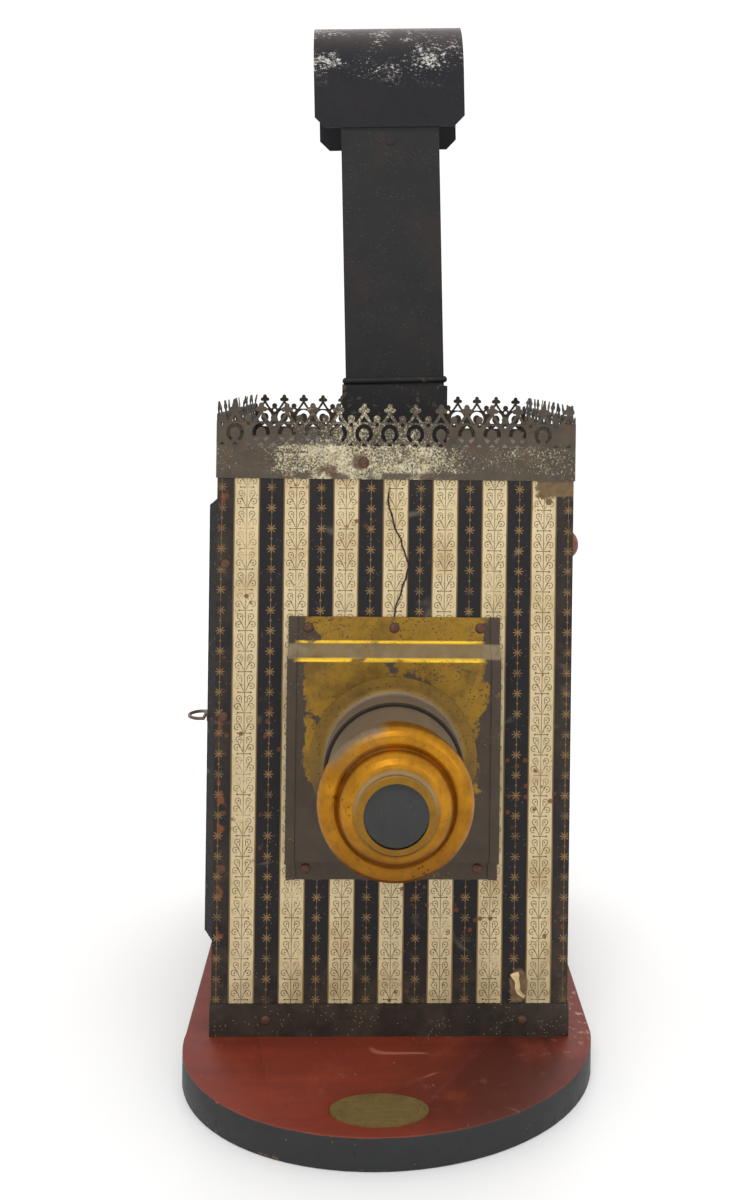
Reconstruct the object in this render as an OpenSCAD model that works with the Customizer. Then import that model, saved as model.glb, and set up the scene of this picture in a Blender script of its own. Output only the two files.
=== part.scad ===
// Magic lantern: a papered tin lamp house on a D-fronted wooden board, with a slide stage,
// a draw-tube objective, a side door, a lift-off chimney and an oil lamp inside.
// Frame: +Z up, the lens looks along -Y, origin on the board's underside below the body's centre.

/* [Board] */
// Board left showing at each side of the body
board_side = 11.5; // [6:0.5:30]
// Thickness of the board
board_t = 14; // [8:0.5:20]
// How far the curved front runs out from where the straight sides end
board_nose = 70; // [40:1:100]
// How far the tip of the curved front lies to the left of the middle
board_skew = 6.5; // [0:0.5:12]
// Board left showing behind the body
board_tail = 12; // [8:1:30]
// Radius of the board's two back corners
board_corner_r = 10; // [3:1:20]
// Length of the oval brass plate
plate_w = 41; // [20:1:50]
// Width of the oval brass plate
plate_d = 20; // [12:1:24]

/* [Body] */
// Outside width of the papered body
body_w = 164; // [140:1:210]
// Outside depth of the papered body
body_d = 168; // [150:1:210]
// Height of the walls above the board
wall_h = 266; // [220:1:330]
// Thickness of the tin sheet
tin_t = 0.6; // [0.4:0.1:0.8]
// Thickness of the covering paper
paper_t = 0.3; // [0.2:0.05:0.4]
// Height of the plain band round the foot
foot_band_h = 15; // [10:1:22]
// Height of the plain part of the band round the top
top_band_h = 15; // [10:1:20]
// How much of the top band covers the walls
top_band_lap = 10; // [6:1:12]
// Height of the cresting above the plain band
crest_h = 20; // [12:1:26]
// Aimed distance between two crests
crest_pitch_aim = 11.9; // [9:0.1:16]

/* [Slide stage] */
// Height of the optical axis above the board
axis_h = 129.5; // [122:0.5:140]
// Width of the brass stage
stage_w = 97; // [84:1:120]
// Height of the stage's front face
stage_face_h = 91; // [84:1:110]
// Room between the body and the stage's front face, for the slide
stage_gap = 7.4; // [5:0.2:12]
// Height of the sloping top of the stage
stage_slope_h = 6; // [2:0.5:10]
// Height of the flanges that hold the stage to the body
stage_flange_h = 11.8; // [8:0.1:16]
// Width of the folded hem down each side of the stage
stage_hem_w = 4.2; // [3:0.1:6]

/* [Objective] */
// Outside radius of the draw tube
tube_r = 29.3; // [24:0.1:30]
// Radial room between the draw tube and its collar
tube_clear = 0.3; // [0.1:0.05:0.5]
// Wall of the brass tubes
brass_t = 0.7; // [0.5:0.05:1]
// Length of the collar in front of the stage
collar_len = 16; // [10:1:24]
// Radius of the collar's flange
collar_flange_r = 38; // [35:0.5:41]
// Length of draw tube that shows at rest
tube_shown = 26; // [22:1:40]
// Length of draw tube inside the collar at rest
tube_engaged = 13; // [9:1:15]
// How far the bell swells past the draw tube
bell_swell = 3; // [1.5:0.1:5]
// Radius of the rounded rim of the bell
bell_rim_r = 5; // [4:0.1:6]
// Outside radius of the front lens cell
cell_r = 16; // [13:0.1:18]
// Radius of glass that shows in the front cell
glass_open_r = 13.1; // [9:0.1:14]

/* [Condenser] */
// Radius of the condenser lens
condenser_r = 32.8; // [31:0.1:35]
// Thickness of the condenser at its middle
condenser_t = 13; // [8:0.5:16]
// Depth of the condenser's cell behind the front wall
cell_depth = 33; // [30:0.5:40]

/* [Door] */
// Distance from the body's front to the door
door_front_inset = 2; // [1:0.5:4]
// Distance from the door's hinge edge to the body's back
door_rear = 23; // [20:1:40]
// Height of the door's lower edge above the board
door_sill = 43; // [30:1:60]
// Distance from the door's upper edge to the top of the walls
door_head = 20; // [16:1:50]
// Depth of the door's pan
door_pan_h = 3.4; // [2:0.1:5]
// Width of the sloping rim round the door
door_rim = 3; // [2:0.1:5]
// How far the door laps over the wall round its opening
door_lap = 4; // [3:0.5:6]
// Height of one hinge
hinge_h = 24; // [16:1:36]
// Radius of the hinge pins
hinge_pin_r = 1.1; // [0.8:0.1:1.5]
// Distance from each end of the door to its hinge
hinge_inset = 24; // [12:1:40]

/* [Door latch] */
// Radius of the latch wire
wire_r = 0.75; // [0.6:0.05:1]
// Radius of the bend of the latch's grip
grip_r = 5.5; // [4.8:0.1:8]
// Distance from the door's front edge to the latch
latch_inset = 7; // [6.5:0.1:12]
// Length of the latch's tongue
tongue_len = 5.6; // [4:0.1:6]

/* [Chimney] */
// Width of the chimney duct
duct_w = 50; // [40:1:64]
// Depth of the chimney duct
duct_d = 58.6; // [48:0.2:70]
// Length of duct between its bead and the cowl's lower edge
duct_shown = 129; // [90:1:180]
// Length of duct below the bead, inside the socket
spigot_len = 20; // [14:1:28]
// Height of the socket above the roof
socket_h = 32; // [26:1:44]
// How far the loosely seated chimney leans to one side, in degrees
chimney_lean = 1.8; // [0:0.1:2.4]
// Radius of the bead that rests on the socket
bead_r = 1.7; // [1.2:0.1:2.4]
// Length of the cowl
cowl_w = 76.5; // [66:0.5:100]
// Height of the cowl's straight skirts
skirt_h = 28; // [20:1:40]
// Size of the cut corners of the skirts
skirt_cut = 5.4; // [3:0.1:8]

/* [Lamp] */
// Radius of the lamp's oil font
font_r = 33; // [27.5:0.5:38]
// Height of the font's straight side
font_side_h = 38; // [24:1:44]
// Height of the font's domed top
font_dome_h = 10; // [6:0.5:14]
// Radius of the font's neck
neck_r = 12; // [10:0.5:15]
// Height of the burner above the neck
burner_h = 30; // [26:0.5:36]
// Width of the flat wick
wick_w = 16; // [12:0.5:18]
// Thickness of the flat wick
wick_t = 2.2; // [1.6:0.1:3]
// Radius of the wick wheels
wheel_r = 3; // [2.4:0.1:3.6]
// Height of the lamp glass
glass_h = 122; // [90:1:140]
// Radius of the glass at its bulge
glass_bulge_r = 20.5; // [18:0.5:24]
// Wall of the lamp glass
glass_t = 1.2; // [0.8:0.1:1.6]
// Radius of the reflector's rim
reflector_r = 38; // [30:0.5:42]
// Depth of the reflector's dish
reflector_sag = 13; // [8:0.5:16]
// Distance of the reflector's back behind the flame
reflector_back = 46; // [42:0.5:50]

/* [Hidden] */
$fn = 96;
eps = 0.01;                 // overlap that makes a cut pass right through
sheet_gap = 0.3;            // air between pieces that move past each other
run_clear = 0.05;           // radial room round a pin that turns
seat_gap = 0.15;            // air under a piece that only stands on another

// Sizes that follow the body
board_w = body_w + 2 * board_side;
door_w = body_d - door_front_inset - door_rear;
door_h = wall_h - door_sill - door_head;

// Levels, from the ground up
floor_z = board_t;
wall_top_z = floor_z + wall_h;
band_z = wall_top_z - top_band_lap;
crest_z = band_z + top_band_h;
axis_z = floor_z + axis_h;
roof_z = wall_top_z + tin_t;

// Half sizes of the body, from the paper inwards
half_w = body_w / 2;
half_d = body_d / 2;
wall_hw = half_w - paper_t;
wall_hd = half_d - paper_t;
room_hw = wall_hw - tin_t;
room_hd = wall_hd - tin_t;
band_hw = half_w + tin_t;
band_hd = half_d + tin_t;

// Stage, in distances forward of the body's front
stage_f = stage_gap + tin_t;
face_top_z = axis_z + stage_face_h / 2;
face_low_z = axis_z - stage_face_h / 2;
stage_top_z = face_top_z + stage_slope_h + stage_flange_h;
stage_low_z = face_low_z - stage_flange_h;

// Objective, in distances forward of the body's front
collar_in_r = tube_r + tube_clear;
collar_out_r = collar_in_r + brass_t;
collar_f = stage_f + collar_len;
tube_back_f = collar_f - tube_engaged;
bell_back_f = collar_f + tube_shown - 4;
rim_mid_r = tube_r + bell_swell - bell_rim_r;
rim_f = collar_f + tube_shown + 7;
dome_out_r = rim_mid_r - bell_rim_r * 0.74;
dome_h = dome_out_r - cell_r - 0.4;
dome_f = rim_f + bell_rim_r * 0.8;
cell_front_f = dome_f + dome_h + 3;
glass_f = cell_front_f - 1;
cell_in_r = cell_r - brass_t;
rear_glass_r = tube_r - brass_t - run_clear;
light_hole_r = condenser_r - 0.3;
condenser_f = -cell_depth + 3;

// Door
door_y0 = -half_d + door_front_inset;
door_y1 = door_y0 + door_w;
door_z0 = floor_z + door_sill;
door_z1 = door_z0 + door_h;
door_in_x = -half_w - sheet_gap;
door_face_x = door_in_x - door_pan_h;
door_skin_x = door_face_x - paper_t;
open_y0 = door_y0 + door_lap;
open_y1 = door_y1 - door_lap;
open_z0 = door_z0 + door_lap + 1;
open_z1 = door_z1 - door_lap - 1;
barrel_r = hinge_pin_r + 1.2;
hinge_x = -half_w - sheet_gap - barrel_r;
hinge_y = door_y1 + barrel_r + sheet_gap;
knuckle_h = hinge_h / 3;
leaf_t = 0.8;
leaf_w = 9;
hinge_zs = [door_z0 + hinge_inset, door_z1 - hinge_inset - hinge_h];
latch_y = door_y0 + latch_inset;
latch_z = (door_z0 + door_z1) / 2;
washer_r = 3;
washer_t = 0.5;
bar_x = door_skin_x - washer_t - sheet_gap - wire_r;
tongue_x = -room_hw + sheet_gap + wire_r + 0.2;
return_w = 10;              // flange that the left wall turns behind the front wall

// Chimney, measured up from its seat on the socket
bead_z = bead_r;
skirt_z = bead_z + duct_shown;
cowl_r = duct_d / 2 + tin_t;
arch_z = skirt_z + skirt_h;
stay_z = skirt_z - 6.5;
cowl_rivet_z = arch_z - 4;
socket_gap = 0.5 + spigot_len * sin(chimney_lean);
socket_top_z = roof_z + socket_h;
seat_z = socket_top_z + duct_w / 2 * sin(chimney_lean) + seat_gap;
stay_w = 12;

// Cresting
crest_n = round(2 * band_hw / crest_pitch_aim);
crest_m = round(2 * band_hd / crest_pitch_aim);

// Rivets: [across, up] on the face that carries them
rivet_r = 2.2;
rivet_shank_r = 1;
foot_rivets = [[-57, floor_z + foot_band_h / 2], [61, floor_z + foot_band_h / 2]];
edge_rivets = [for (k = [0:2]) [-room_hw + return_w / 2 - 1.8, door_z0 + door_h * (0.165 + 0.345 * k)]];
stage_rivet_dx = stage_w / 2 - 9;
stage_rivets = [for (x = [-stage_rivet_dx, 0, stage_rivet_dx]) [x, stage_top_z - 5],
                for (x = [-stage_rivet_dx, stage_rivet_dx]) [x, stage_low_z + 5]];
band_rivet = [-15, band_z + top_band_h / 2];
vent_y = -half_d + 12;
vent_z = wall_top_z - 41;
vent_r = 7.6;
vent_hole_r = 4.5;
air_hole_r = 4;
air_n = 7;
air_pitch = 16;
air_z = floor_z + foot_band_h + 12;

// Lamp
lamp_z = floor_z + tin_t + seat_gap;
font_top_z = lamp_z + font_side_h + font_dome_h;
neck_z = font_top_z + 4;
burner_z = neck_z + burner_h;
shaft_z = neck_z + 15;
tube_in_w = wick_w + 0.8;
tube_in_t = wick_t + 0.6;
wheel_y = wick_t / 2 + 0.2 + wheel_r;
shaft_r = 1;
knob_x = -32;
knob_r = 6;
glass_foot_r = 15.5;
glass_z = burner_z - 6;
cap_r = 6;
cap_x = (neck_r + 1.6 + font_r) / 2;
flame_z = burner_z + 22;

// ---- helpers -------------------------------------------------------------------------------

// Points of an arc about (cx, cy), from angle a0 to a1
function arc(cx, cy, r, a0, a1, n) =
    [for (i = [0:n]) let (a = a0 + (a1 - a0) * i / n) [cx + r * cos(a), cy + r * sin(a)]];

// A box given by its lowest and highest corners
module block(lo, hi) {
    translate(lo) cube(hi - lo);
}

// A round bar along an axis, centred on its middle
module bar_x(r, x0, x1) {
    translate([x0, 0, 0]) rotate([0, 90, 0]) cylinder(r = r, h = x1 - x0);
}

// Puts lens pieces on the optical axis; local +Z is forward of the body's front
module on_axis() {
    translate([0, -half_d, axis_z]) rotate([90, 0, 0]) children();
}

// A turned piece on the optical axis, from [radius, forward] points
module turned(points) {
    on_axis() rotate_extrude() polygon(points);
}

// Puts flat things on the front; local X across, local Y up, local Z forward
module on_front(f = 0) {
    translate([0, -half_d - f, 0]) rotate([90, 0, 0]) children();
}

// Holes for a list of rivets through anything near the front
module front_rivet_holes(list) {
    for (p = list)
        translate([p[0], -half_d - 5, p[1]]) rotate([-90, 0, 0]) cylinder(r = rivet_shank_r, h = 10);
}

// Domed rivets on the front: head on the face at f, shank back to depth
module front_rivets(list, f, depth, head_r = rivet_r) {
    for (p = list)
        on_front(f) translate([p[0], p[1], 0])
            rotate_extrude($fn = 32)
                polygon(concat([[0, -depth], [rivet_shank_r, -depth], [rivet_shank_r, 0]],
                               arc(0, 0, 1, 0, 90, 6) * [[head_r, 0], [0, head_r * 0.5]]));
}

// A ring of sheet round the body between two half sizes
module sheet_ring(hw, hd, t, z0, z1) {
    difference() {
        block([-hw - t, -hd - t, z0], [hw + t, hd + t, z1]);
        block([-hw, -hd, z0 - 1], [hw, hd, z1 + 1]);
    }
}

// A biconvex lens profile: outer radius, flat margin held by the cell, middle and thickness of
// the rim, and how far each face swells
function lens_profile(r, margin, mid_f, rim_t, front_sag, back_sag) =
    let (n = 10,
         q = r - margin,
         fr = (q * q + front_sag * front_sag) / (2 * front_sag),
         br = (q * q + back_sag * back_sag) / (2 * back_sag),
         fa = asin(q / fr),
         ba = asin(q / br))
    concat([for (i = [0:n]) let (a = ba * i / n)
                [br * sin(a), mid_f - rim_t / 2 - back_sag + br * (1 - cos(a))]],
           [[r, mid_f - rim_t / 2], [r, mid_f + rim_t / 2]],
           [for (i = [n:-1:0]) let (a = fa * i / n)
                [fr * sin(a), mid_f + rim_t / 2 + front_sag - fr * (1 - cos(a))]]);

// ---- board ---------------------------------------------------------------------------------

board_y0 = -half_d + 3;
board_y1 = half_d + board_tail;
function board_outline() =
    concat([for (i = [0:48]) let (a = 180 + 180 * i / 48)
                [board_w / 2 * cos(a) + board_skew * sin(a), board_y0 + board_nose * sin(a)]],
           arc(board_w / 2 - board_corner_r, board_y1 - board_corner_r, board_corner_r, 0, 90, 8),
           arc(-board_w / 2 + board_corner_r, board_y1 - board_corner_r, board_corner_r, 90, 180, 8));

screw_places = [for (x = [-1, 1], y = [-1, 1]) [x * (room_hw - 16), y * (room_hd - 16)]];
plate_y = board_y0 - board_nose + plate_d / 2 + 5.5;
plate_x = board_skew * (plate_y - board_y0) / board_nose;
plate_t = 0.8;
plate_pin_dx = plate_w / 2 - 3.4;
pin_r = 0.6;
screw_r = 1.6;

module base_board() {
    color("sienna") difference() {
        linear_extrude(board_t) polygon(board_outline());
        for (p = screw_places) translate([p[0], p[1], board_t - 9]) cylinder(r = screw_r, h = 10, $fn = 24);
        for (s = [-1, 1]) translate([plate_x + s * plate_pin_dx, plate_y, board_t - 5])
            cylinder(r = pin_r, h = 6, $fn = 24);
    }
}

module oval_plate() {
    color("darkgoldenrod") difference() {
        translate([plate_x, plate_y, board_t]) linear_extrude(plate_t)
            polygon([for (i = [0:47]) let (a = 360 * i / 48) [plate_w / 2 * cos(a), plate_d / 2 * sin(a)]]);
        for (s = [-1, 1]) translate([plate_x + s * plate_pin_dx, plate_y, board_t - 1])
            cylinder(r = pin_r, h = 4, $fn = 24);
    }
}

module plate_pins() {
    color("goldenrod") for (s = [-1, 1]) translate([plate_x + s * plate_pin_dx, plate_y, board_t - 5]) {
        cylinder(r = pin_r, h = 5 + plate_t, $fn = 24);
        translate([0, 0, 5 + plate_t]) cylinder(r = 1.3, h = 0.5, $fn = 24);
    }
}

// ---- floor ---------------------------------------------------------------------------------

pan_rim_h = 8;
seat_ring_h = 4;

module floor_pan() {
    color("dimgray") difference() {
        block([-room_hw, -room_hd, floor_z], [room_hw, room_hd, floor_z + pan_rim_h]);
        block([-room_hw + tin_t, -room_hd + tin_t, floor_z + tin_t],
              [room_hw - tin_t, room_hd - tin_t, floor_z + pan_rim_h + 1]);
        for (p = screw_places) translate([p[0], p[1], floor_z - 1]) cylinder(r = screw_r, h = 4, $fn = 24);
    }
}

module floor_screws() {
    color("gray") for (p = screw_places) translate([p[0], p[1], floor_z - 9]) {
        cylinder(r = screw_r, h = 9 + tin_t, $fn = 24);
        difference() {
            translate([0, 0, 9 + tin_t]) cylinder(r = 3.2, h = 1.6, $fn = 32);
            translate([-4, -0.4, 9 + tin_t + 0.9]) cube([8, 0.8, 1]);
        }
    }
}

module lamp_seat() {
    color("dimgray") translate([0, 0, floor_z + tin_t]) difference() {
        cylinder(r = font_r + 1 + tin_t, h = seat_ring_h);
        translate([0, 0, -1]) cylinder(r = font_r + 1, h = seat_ring_h + 2);
    }
}

// ---- walls ---------------------------------------------------------------------------------

module front_panel() {
    color("dimgray") difference() {
        block([-wall_hw, -wall_hd, floor_z], [wall_hw, -room_hd, wall_top_z]);
        on_axis() translate([0, 0, -5]) cylinder(r = light_hole_r, h = 10);
        front_rivet_holes(concat(edge_rivets, stage_rivets, foot_rivets));
        front_rivet_holes([band_rivet]);
    }
}

module back_panel() {
    color("dimgray") difference() {
        block([-wall_hw, room_hd, floor_z], [wall_hw, wall_hd, wall_top_z]);
        air_holes();
    }
}

module right_panel() {
    color("dimgray") difference() {
        block([room_hw, -room_hd, floor_z], [wall_hw, room_hd, wall_top_z]);
        vent_hole();
    }
}

module left_panel() {
    color("dimgray") difference() {
        union() {
            block([-wall_hw, -room_hd, floor_z], [-room_hw, room_hd, wall_top_z]);
            block([-room_hw, -room_hd, floor_z + pan_rim_h + 2],
                  [-room_hw + return_w, -room_hd + tin_t, wall_top_z - 2]);
        }
        door_opening();
        front_rivet_holes(edge_rivets);
    }
}

module door_opening() {
    block([-half_w - 1, open_y0, open_z0], [-room_hw - eps, open_y1, open_z1]);
    block([-room_hw - 1, open_y0, open_z0], [-room_hw + tin_t, open_y1, open_z1]);
}

module vent_hole() {
    translate([0, vent_y, vent_z]) bar_x(vent_hole_r, room_hw - 1, half_w + 1);
}

module air_holes() {
    for (k = [0:air_n - 1])
        translate([(k - (air_n - 1) / 2) * air_pitch, room_hd - 1, air_z])
            rotate([-90, 0, 0]) cylinder(r = air_hole_r, h = 4, $fn = 32);
}

paper_z0 = floor_z + 1;
paper_z1 = wall_top_z - 2;

module front_paper() {
    color("tan") difference() {
        block([-half_w, -half_d, paper_z0], [half_w, -wall_hd, paper_z1]);
        on_axis() translate([0, 0, -5]) cylinder(r = light_hole_r, h = 10);
        front_rivet_holes(concat(edge_rivets, stage_rivets, foot_rivets));
        front_rivet_holes([band_rivet]);
    }
}

module back_paper() {
    color("tan") difference() {
        block([-half_w, wall_hd, paper_z0], [half_w, half_d, paper_z1]);
        air_holes();
    }
}

module right_paper() {
    color("tan") difference() {
        block([wall_hw, -wall_hd, paper_z0], [half_w, wall_hd, paper_z1]);
        vent_hole();
    }
}

module left_paper() {
    color("tan") difference() {
        block([-half_w, -wall_hd, paper_z0], [-wall_hw, wall_hd, paper_z1]);
        door_opening();
    }
}

module foot_band() {
    color("darkslategray") difference() {
        sheet_ring(half_w, half_d, tin_t, floor_z, floor_z + foot_band_h);
        front_rivet_holes(foot_rivets);
    }
}

module foot_band_rivets() {
    color("saddlebrown") front_rivets(foot_rivets, tin_t, tin_t * 2 + paper_t);
}

module edge_rivets() {
    color("saddlebrown") front_rivets(edge_rivets, 0, tin_t * 2 + paper_t);
}

module side_vent_cap() {
    cap_h = 4.6;
    dome_r = vent_r - 1.4;
    color("firebrick") translate([half_w, vent_y, vent_z]) rotate([0, 90, 0])
        rotate_extrude($fn = 48) difference() {
            polygon(concat([[vent_hole_r - 0.8, -2], [vent_hole_r, -2], [vent_hole_r, 0],
                            [vent_r, 0], [vent_r, 1]],
                           arc(0, 0, 1, 0, 90, 8) * [[dome_r, 0], [0, cap_h]]
                           + [for (i = [0:8]) [0, i == 0 ? 1 : 0]],
                           [[0, cap_h - 1], [vent_hole_r - 0.8, 1]]));
        }
}

// ---- cresting ------------------------------------------------------------------------------

// Heights in the cresting, as shares of its height
crest_valley = 0.52;
crest_lobe = 0.70;
crest_neck = 0.66;

// Upper edge of one repeat, from valley to valley: half lobe, crest, half lobe
function crest_edge(p, h) =
    let (lobe = p * 0.13, head = p * 0.17, hz = h - head)
    concat([[-p / 2, h * crest_lobe], [-p / 2 + lobe * 0.7, h * crest_lobe - lobe * 0.5],
            [-p / 2 + lobe, h * crest_lobe - lobe * 1.3], [-p * 0.24, h * crest_valley],
            [-p * 0.07, h * crest_neck], [-head, hz - head * 0.5]],
           [[-head * 1.1, hz], [-head * 0.45, hz + head * 0.3], [0, h], [head * 0.45, hz + head * 0.3],
            [head * 1.1, hz]],
           [[head, hz - head * 0.5], [p * 0.07, h * crest_neck],
            [p * 0.24, h * crest_valley], [p / 2 - lobe, h * crest_lobe - lobe * 1.3],
            [p / 2 - lobe * 0.7, h * crest_lobe - lobe * 0.5]]);

// A strip with cresting along its top: [along, up], from the band's foot
module crest_strip(length, n) {
    p = length / n;
    linear_extrude(tin_t) difference() {
        polygon(concat([[-length / 2, 0], [length / 2, 0], [length / 2, top_band_h + crest_h * crest_lobe]],
                       [for (k = [n - 1:-1:0]) let (edge = crest_edge(p, crest_h), m = len(edge))
                            for (i = [m - 1:-1:0]) edge[i] + [(k - (n - 1) / 2) * p, top_band_h]]));
        for (k = [0:n - 1]) translate([(k - (n - 1) / 2) * p, top_band_h]) {
            translate([0, crest_h * 0.25]) circle(r = p * 0.2, $fn = 24);
            if (k < n - 1) translate([p / 2, crest_h * 0.4]) circle(r = p * 0.1, $fn = 16);
        }
    }
}

module gallery_front() {
    color("silver") difference() {
        on_front() translate([0, band_z, 0]) crest_strip(2 * band_hw, crest_n);
        front_rivet_holes([band_rivet]);
    }
}

module gallery_back() {
    color("silver") rotate([0, 0, 180]) on_front() translate([0, band_z, 0])
        crest_strip(2 * band_hw, crest_n);
}

// A side strip butts against the front and back strips
module gallery_side(turn) {
    rotate([0, 0, turn]) translate([0, -half_w, band_z]) rotate([90, 0, 0]) intersection() {
        crest_strip(2 * band_hd, crest_m);
        translate([-half_d, -1, -1]) cube([2 * half_d, top_band_h + crest_h + 2, tin_t + 2]);
    }
}

module gallery_right() {
    color("silver") gallery_side(90);
}

module gallery_left() {
    color("silver") gallery_side(-90);
}

module gallery_rivets() {
    color("saddlebrown") front_rivets([band_rivet], tin_t, tin_t * 2 + paper_t, 2.6);
}

// ---- roof and chimney ----------------------------------------------------------------------

module roof_plate() {
    color("dimgray") difference() {
        block([-half_w + sheet_gap, -half_d + sheet_gap, wall_top_z],
              [half_w - sheet_gap, half_d - sheet_gap, roof_z]);
        duct_box(duct_w / 2 + socket_gap, duct_d / 2 + socket_gap, wall_top_z - 1, roof_z + 1);
    }
}

module duct_box(hw, hd, z0, z1) {
    block([-hw, -hd, z0], [hw, hd, z1]);
}

module chimney_socket() {
    hw = duct_w / 2 + socket_gap;
    hd = duct_d / 2 + socket_gap;
    flange = 7;
    color("dimgray") difference() {
        union() {
            duct_box(hw + tin_t, hd + tin_t, roof_z, socket_top_z);
            duct_box(hw + flange, hd + flange, roof_z, roof_z + tin_t);
        }
        duct_box(hw, hd, roof_z - 1, socket_top_z + 1);
    }
}

// Everything on the chimney is drawn upright, then leans about its seat
module on_chimney() {
    translate([0, 0, seat_z]) rotate([0, -chimney_lean, 0]) children();
}

module bead() {
    hw = duct_w / 2;
    hd = duct_d / 2;
    for (s = [-1, 1]) {
        translate([0, s * hd, bead_z]) bar_x(bead_r, -hw, hw);
        translate([s * hw, 0, bead_z]) rotate([0, 0, 90]) bar_x(bead_r, -hd, hd);
        for (t = [-1, 1]) translate([s * hw, t * hd, bead_z]) sphere(r = bead_r, $fn = 32);
    }
}

module chimney_duct() {
    hw = duct_w / 2;
    hd = duct_d / 2;
    color("darkslategray") on_chimney() difference() {
        union() {
            duct_box(hw, hd, -spigot_len, arch_z);
            bead();
        }
        duct_box(hw - tin_t, hd - tin_t, -spigot_len - 1, arch_z + 1);
        // The side walls stop under the cowl, so the smoke leaves at both ends
        for (s = [-1, 1]) translate([s * hw, 0, 0])
            block([-2, -hd + tin_t, skirt_z + 3], [2, hd - tin_t, arch_z + 1]);
        chimney_rivet_holes();
    }
}

module duct_stay() {
    hd = duct_d / 2 - tin_t;
    color("dimgray") on_chimney() difference() {
        block([-stay_w / 2, -hd, stay_z - 5], [stay_w / 2, hd, stay_z + 5]);
        block([-stay_w / 2 - 1, -hd + tin_t, stay_z - 6], [stay_w / 2 + 1, hd - tin_t, stay_z + 5 - tin_t]);
        chimney_rivet_holes();
    }
}

module chimney_cowl() {
    hx = cowl_w / 2;
    color("black") on_chimney() difference() {
        union() {
            translate([0, 0, arch_z]) bar_x(cowl_r, -hx, hx);
            block([-hx, -cowl_r, skirt_z], [hx, cowl_r, arch_z]);
        }
        translate([0, 0, arch_z]) bar_x(cowl_r - tin_t, -hx - 1, hx + 1);
        block([-hx - 1, -cowl_r + tin_t, skirt_z - cowl_r], [hx + 1, cowl_r - tin_t, arch_z]);
        for (s = [-1, 1]) translate([s * hx, 0, skirt_z]) rotate([90, 0, 0])
            linear_extrude(2 * cowl_r + 2, center = true)
                polygon([[-s * skirt_cut, -1], [-s * skirt_cut, 0], [0, skirt_cut], [s, skirt_cut], [s, -1]]);
        chimney_rivet_holes();
    }
}

module chimney_rivet_holes() {
    for (z = [stay_z, cowl_rivet_z])
        translate([0, 0, z]) rotate([90, 0, 0])
            cylinder(r = rivet_shank_r, h = 2 * cowl_r + 2, center = true, $fn = 24);
}

// One rivet standing out of a face at distance y: shank inwards, flat head outwards
module flat_rivet(z, y, depth, s) {
    translate([0, s * y, z]) rotate([s * -90, 0, 0]) {
        translate([0, 0, -depth]) cylinder(r = rivet_shank_r, h = depth, $fn = 24);
        cylinder(r = 2.5, h = 0.6, $fn = 32);
    }
}

module cowl_rivets() {
    color("dimgray") on_chimney() for (s = [-1, 1]) {
        flat_rivet(stay_z, duct_d / 2, 2 * tin_t, s);
        flat_rivet(cowl_rivet_z, cowl_r, 2 * tin_t, s);
    }
}

// ---- slide stage ---------------------------------------------------------------------------

// Section of the bent sheet: [forward, up]; grow thickens it forwards for the hems
module stage_section(grow = 0) {
    f = stage_f + grow;
    t = tin_t + grow;
    polygon([[0, stage_top_z], [t, stage_top_z], [t, face_top_z + stage_slope_h], [f, face_top_z],
             [f, face_low_z - t], [t, face_low_z - t], [t, stage_low_z], [0, stage_low_z],
             [0, face_low_z], [f - t, face_low_z], [f - t, face_top_z - tin_t],
             [0, face_top_z + stage_slope_h - tin_t]]);
}

module slide_stage() {
    color("goldenrod") difference() {
        union() {
            stage_slice(-stage_w / 2, stage_w / 2, 0);
            for (s = [-1, 1])
                stage_slice(s > 0 ? stage_w / 2 - stage_hem_w : -stage_w / 2,
                            s > 0 ? stage_w / 2 : -stage_w / 2 + stage_hem_w, tin_t);
        }
        block([-stage_w / 2 - 1, -half_d - stage_gap, face_low_z],
              [stage_w / 2 + 1, -half_d, face_top_z - tin_t]);
        on_axis() cylinder(r = collar_in_r, h = 20);
        front_rivet_holes(stage_rivets);
    }
}

// The section drawn along X between two places
module stage_slice(x0, x1, grow) {
    translate([x1, -half_d, 0]) rotate([90, 0, -90]) linear_extrude(x1 - x0) stage_section(grow);
}

module stage_rivets() {
    color("saddlebrown") front_rivets(stage_rivets, tin_t, 2 * tin_t + paper_t, 2.4);
}

module lens_collar() {
    flange_t = 0.8;
    fillet = 3;
    f0 = stage_f;
    f1 = collar_f;
    color("darkgoldenrod") turned(concat(
        [[collar_in_r, f0], [collar_flange_r, f0], [collar_flange_r, f0 + flange_t]],
        [for (p = arc(collar_out_r + fillet, f0 + flange_t + fillet, fillet, 270, 180, 6)) p],
        [[collar_out_r, f1 - 1.6]],
        arc(collar_out_r, f1 - 0.8, 0.8, -90, 90, 6),
        [[collar_in_r, f1]]));
}

// ---- objective -----------------------------------------------------------------------------

module draw_tube() {
    f1 = bell_back_f + 6;
    color("tan") turned([[tube_r - brass_t, tube_back_f], [tube_r, tube_back_f],
                         [tube_r, f1], [tube_r - brass_t, f1]]);
}

// Outer profile of the bell from back to front; thin draws the inner profile
function bell_profile(thin) =
    let (rim_r = bell_rim_r - thin,
         start = acos((tube_r + brass_t - thin - rim_mid_r) / rim_r))
    concat([[tube_r + brass_t - thin, bell_back_f]],
           arc(rim_mid_r, rim_f, rim_r, -start, 128, 16),
           arc(cell_r + 0.4, dome_f, dome_h - thin, 8, 84, 8));

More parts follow.
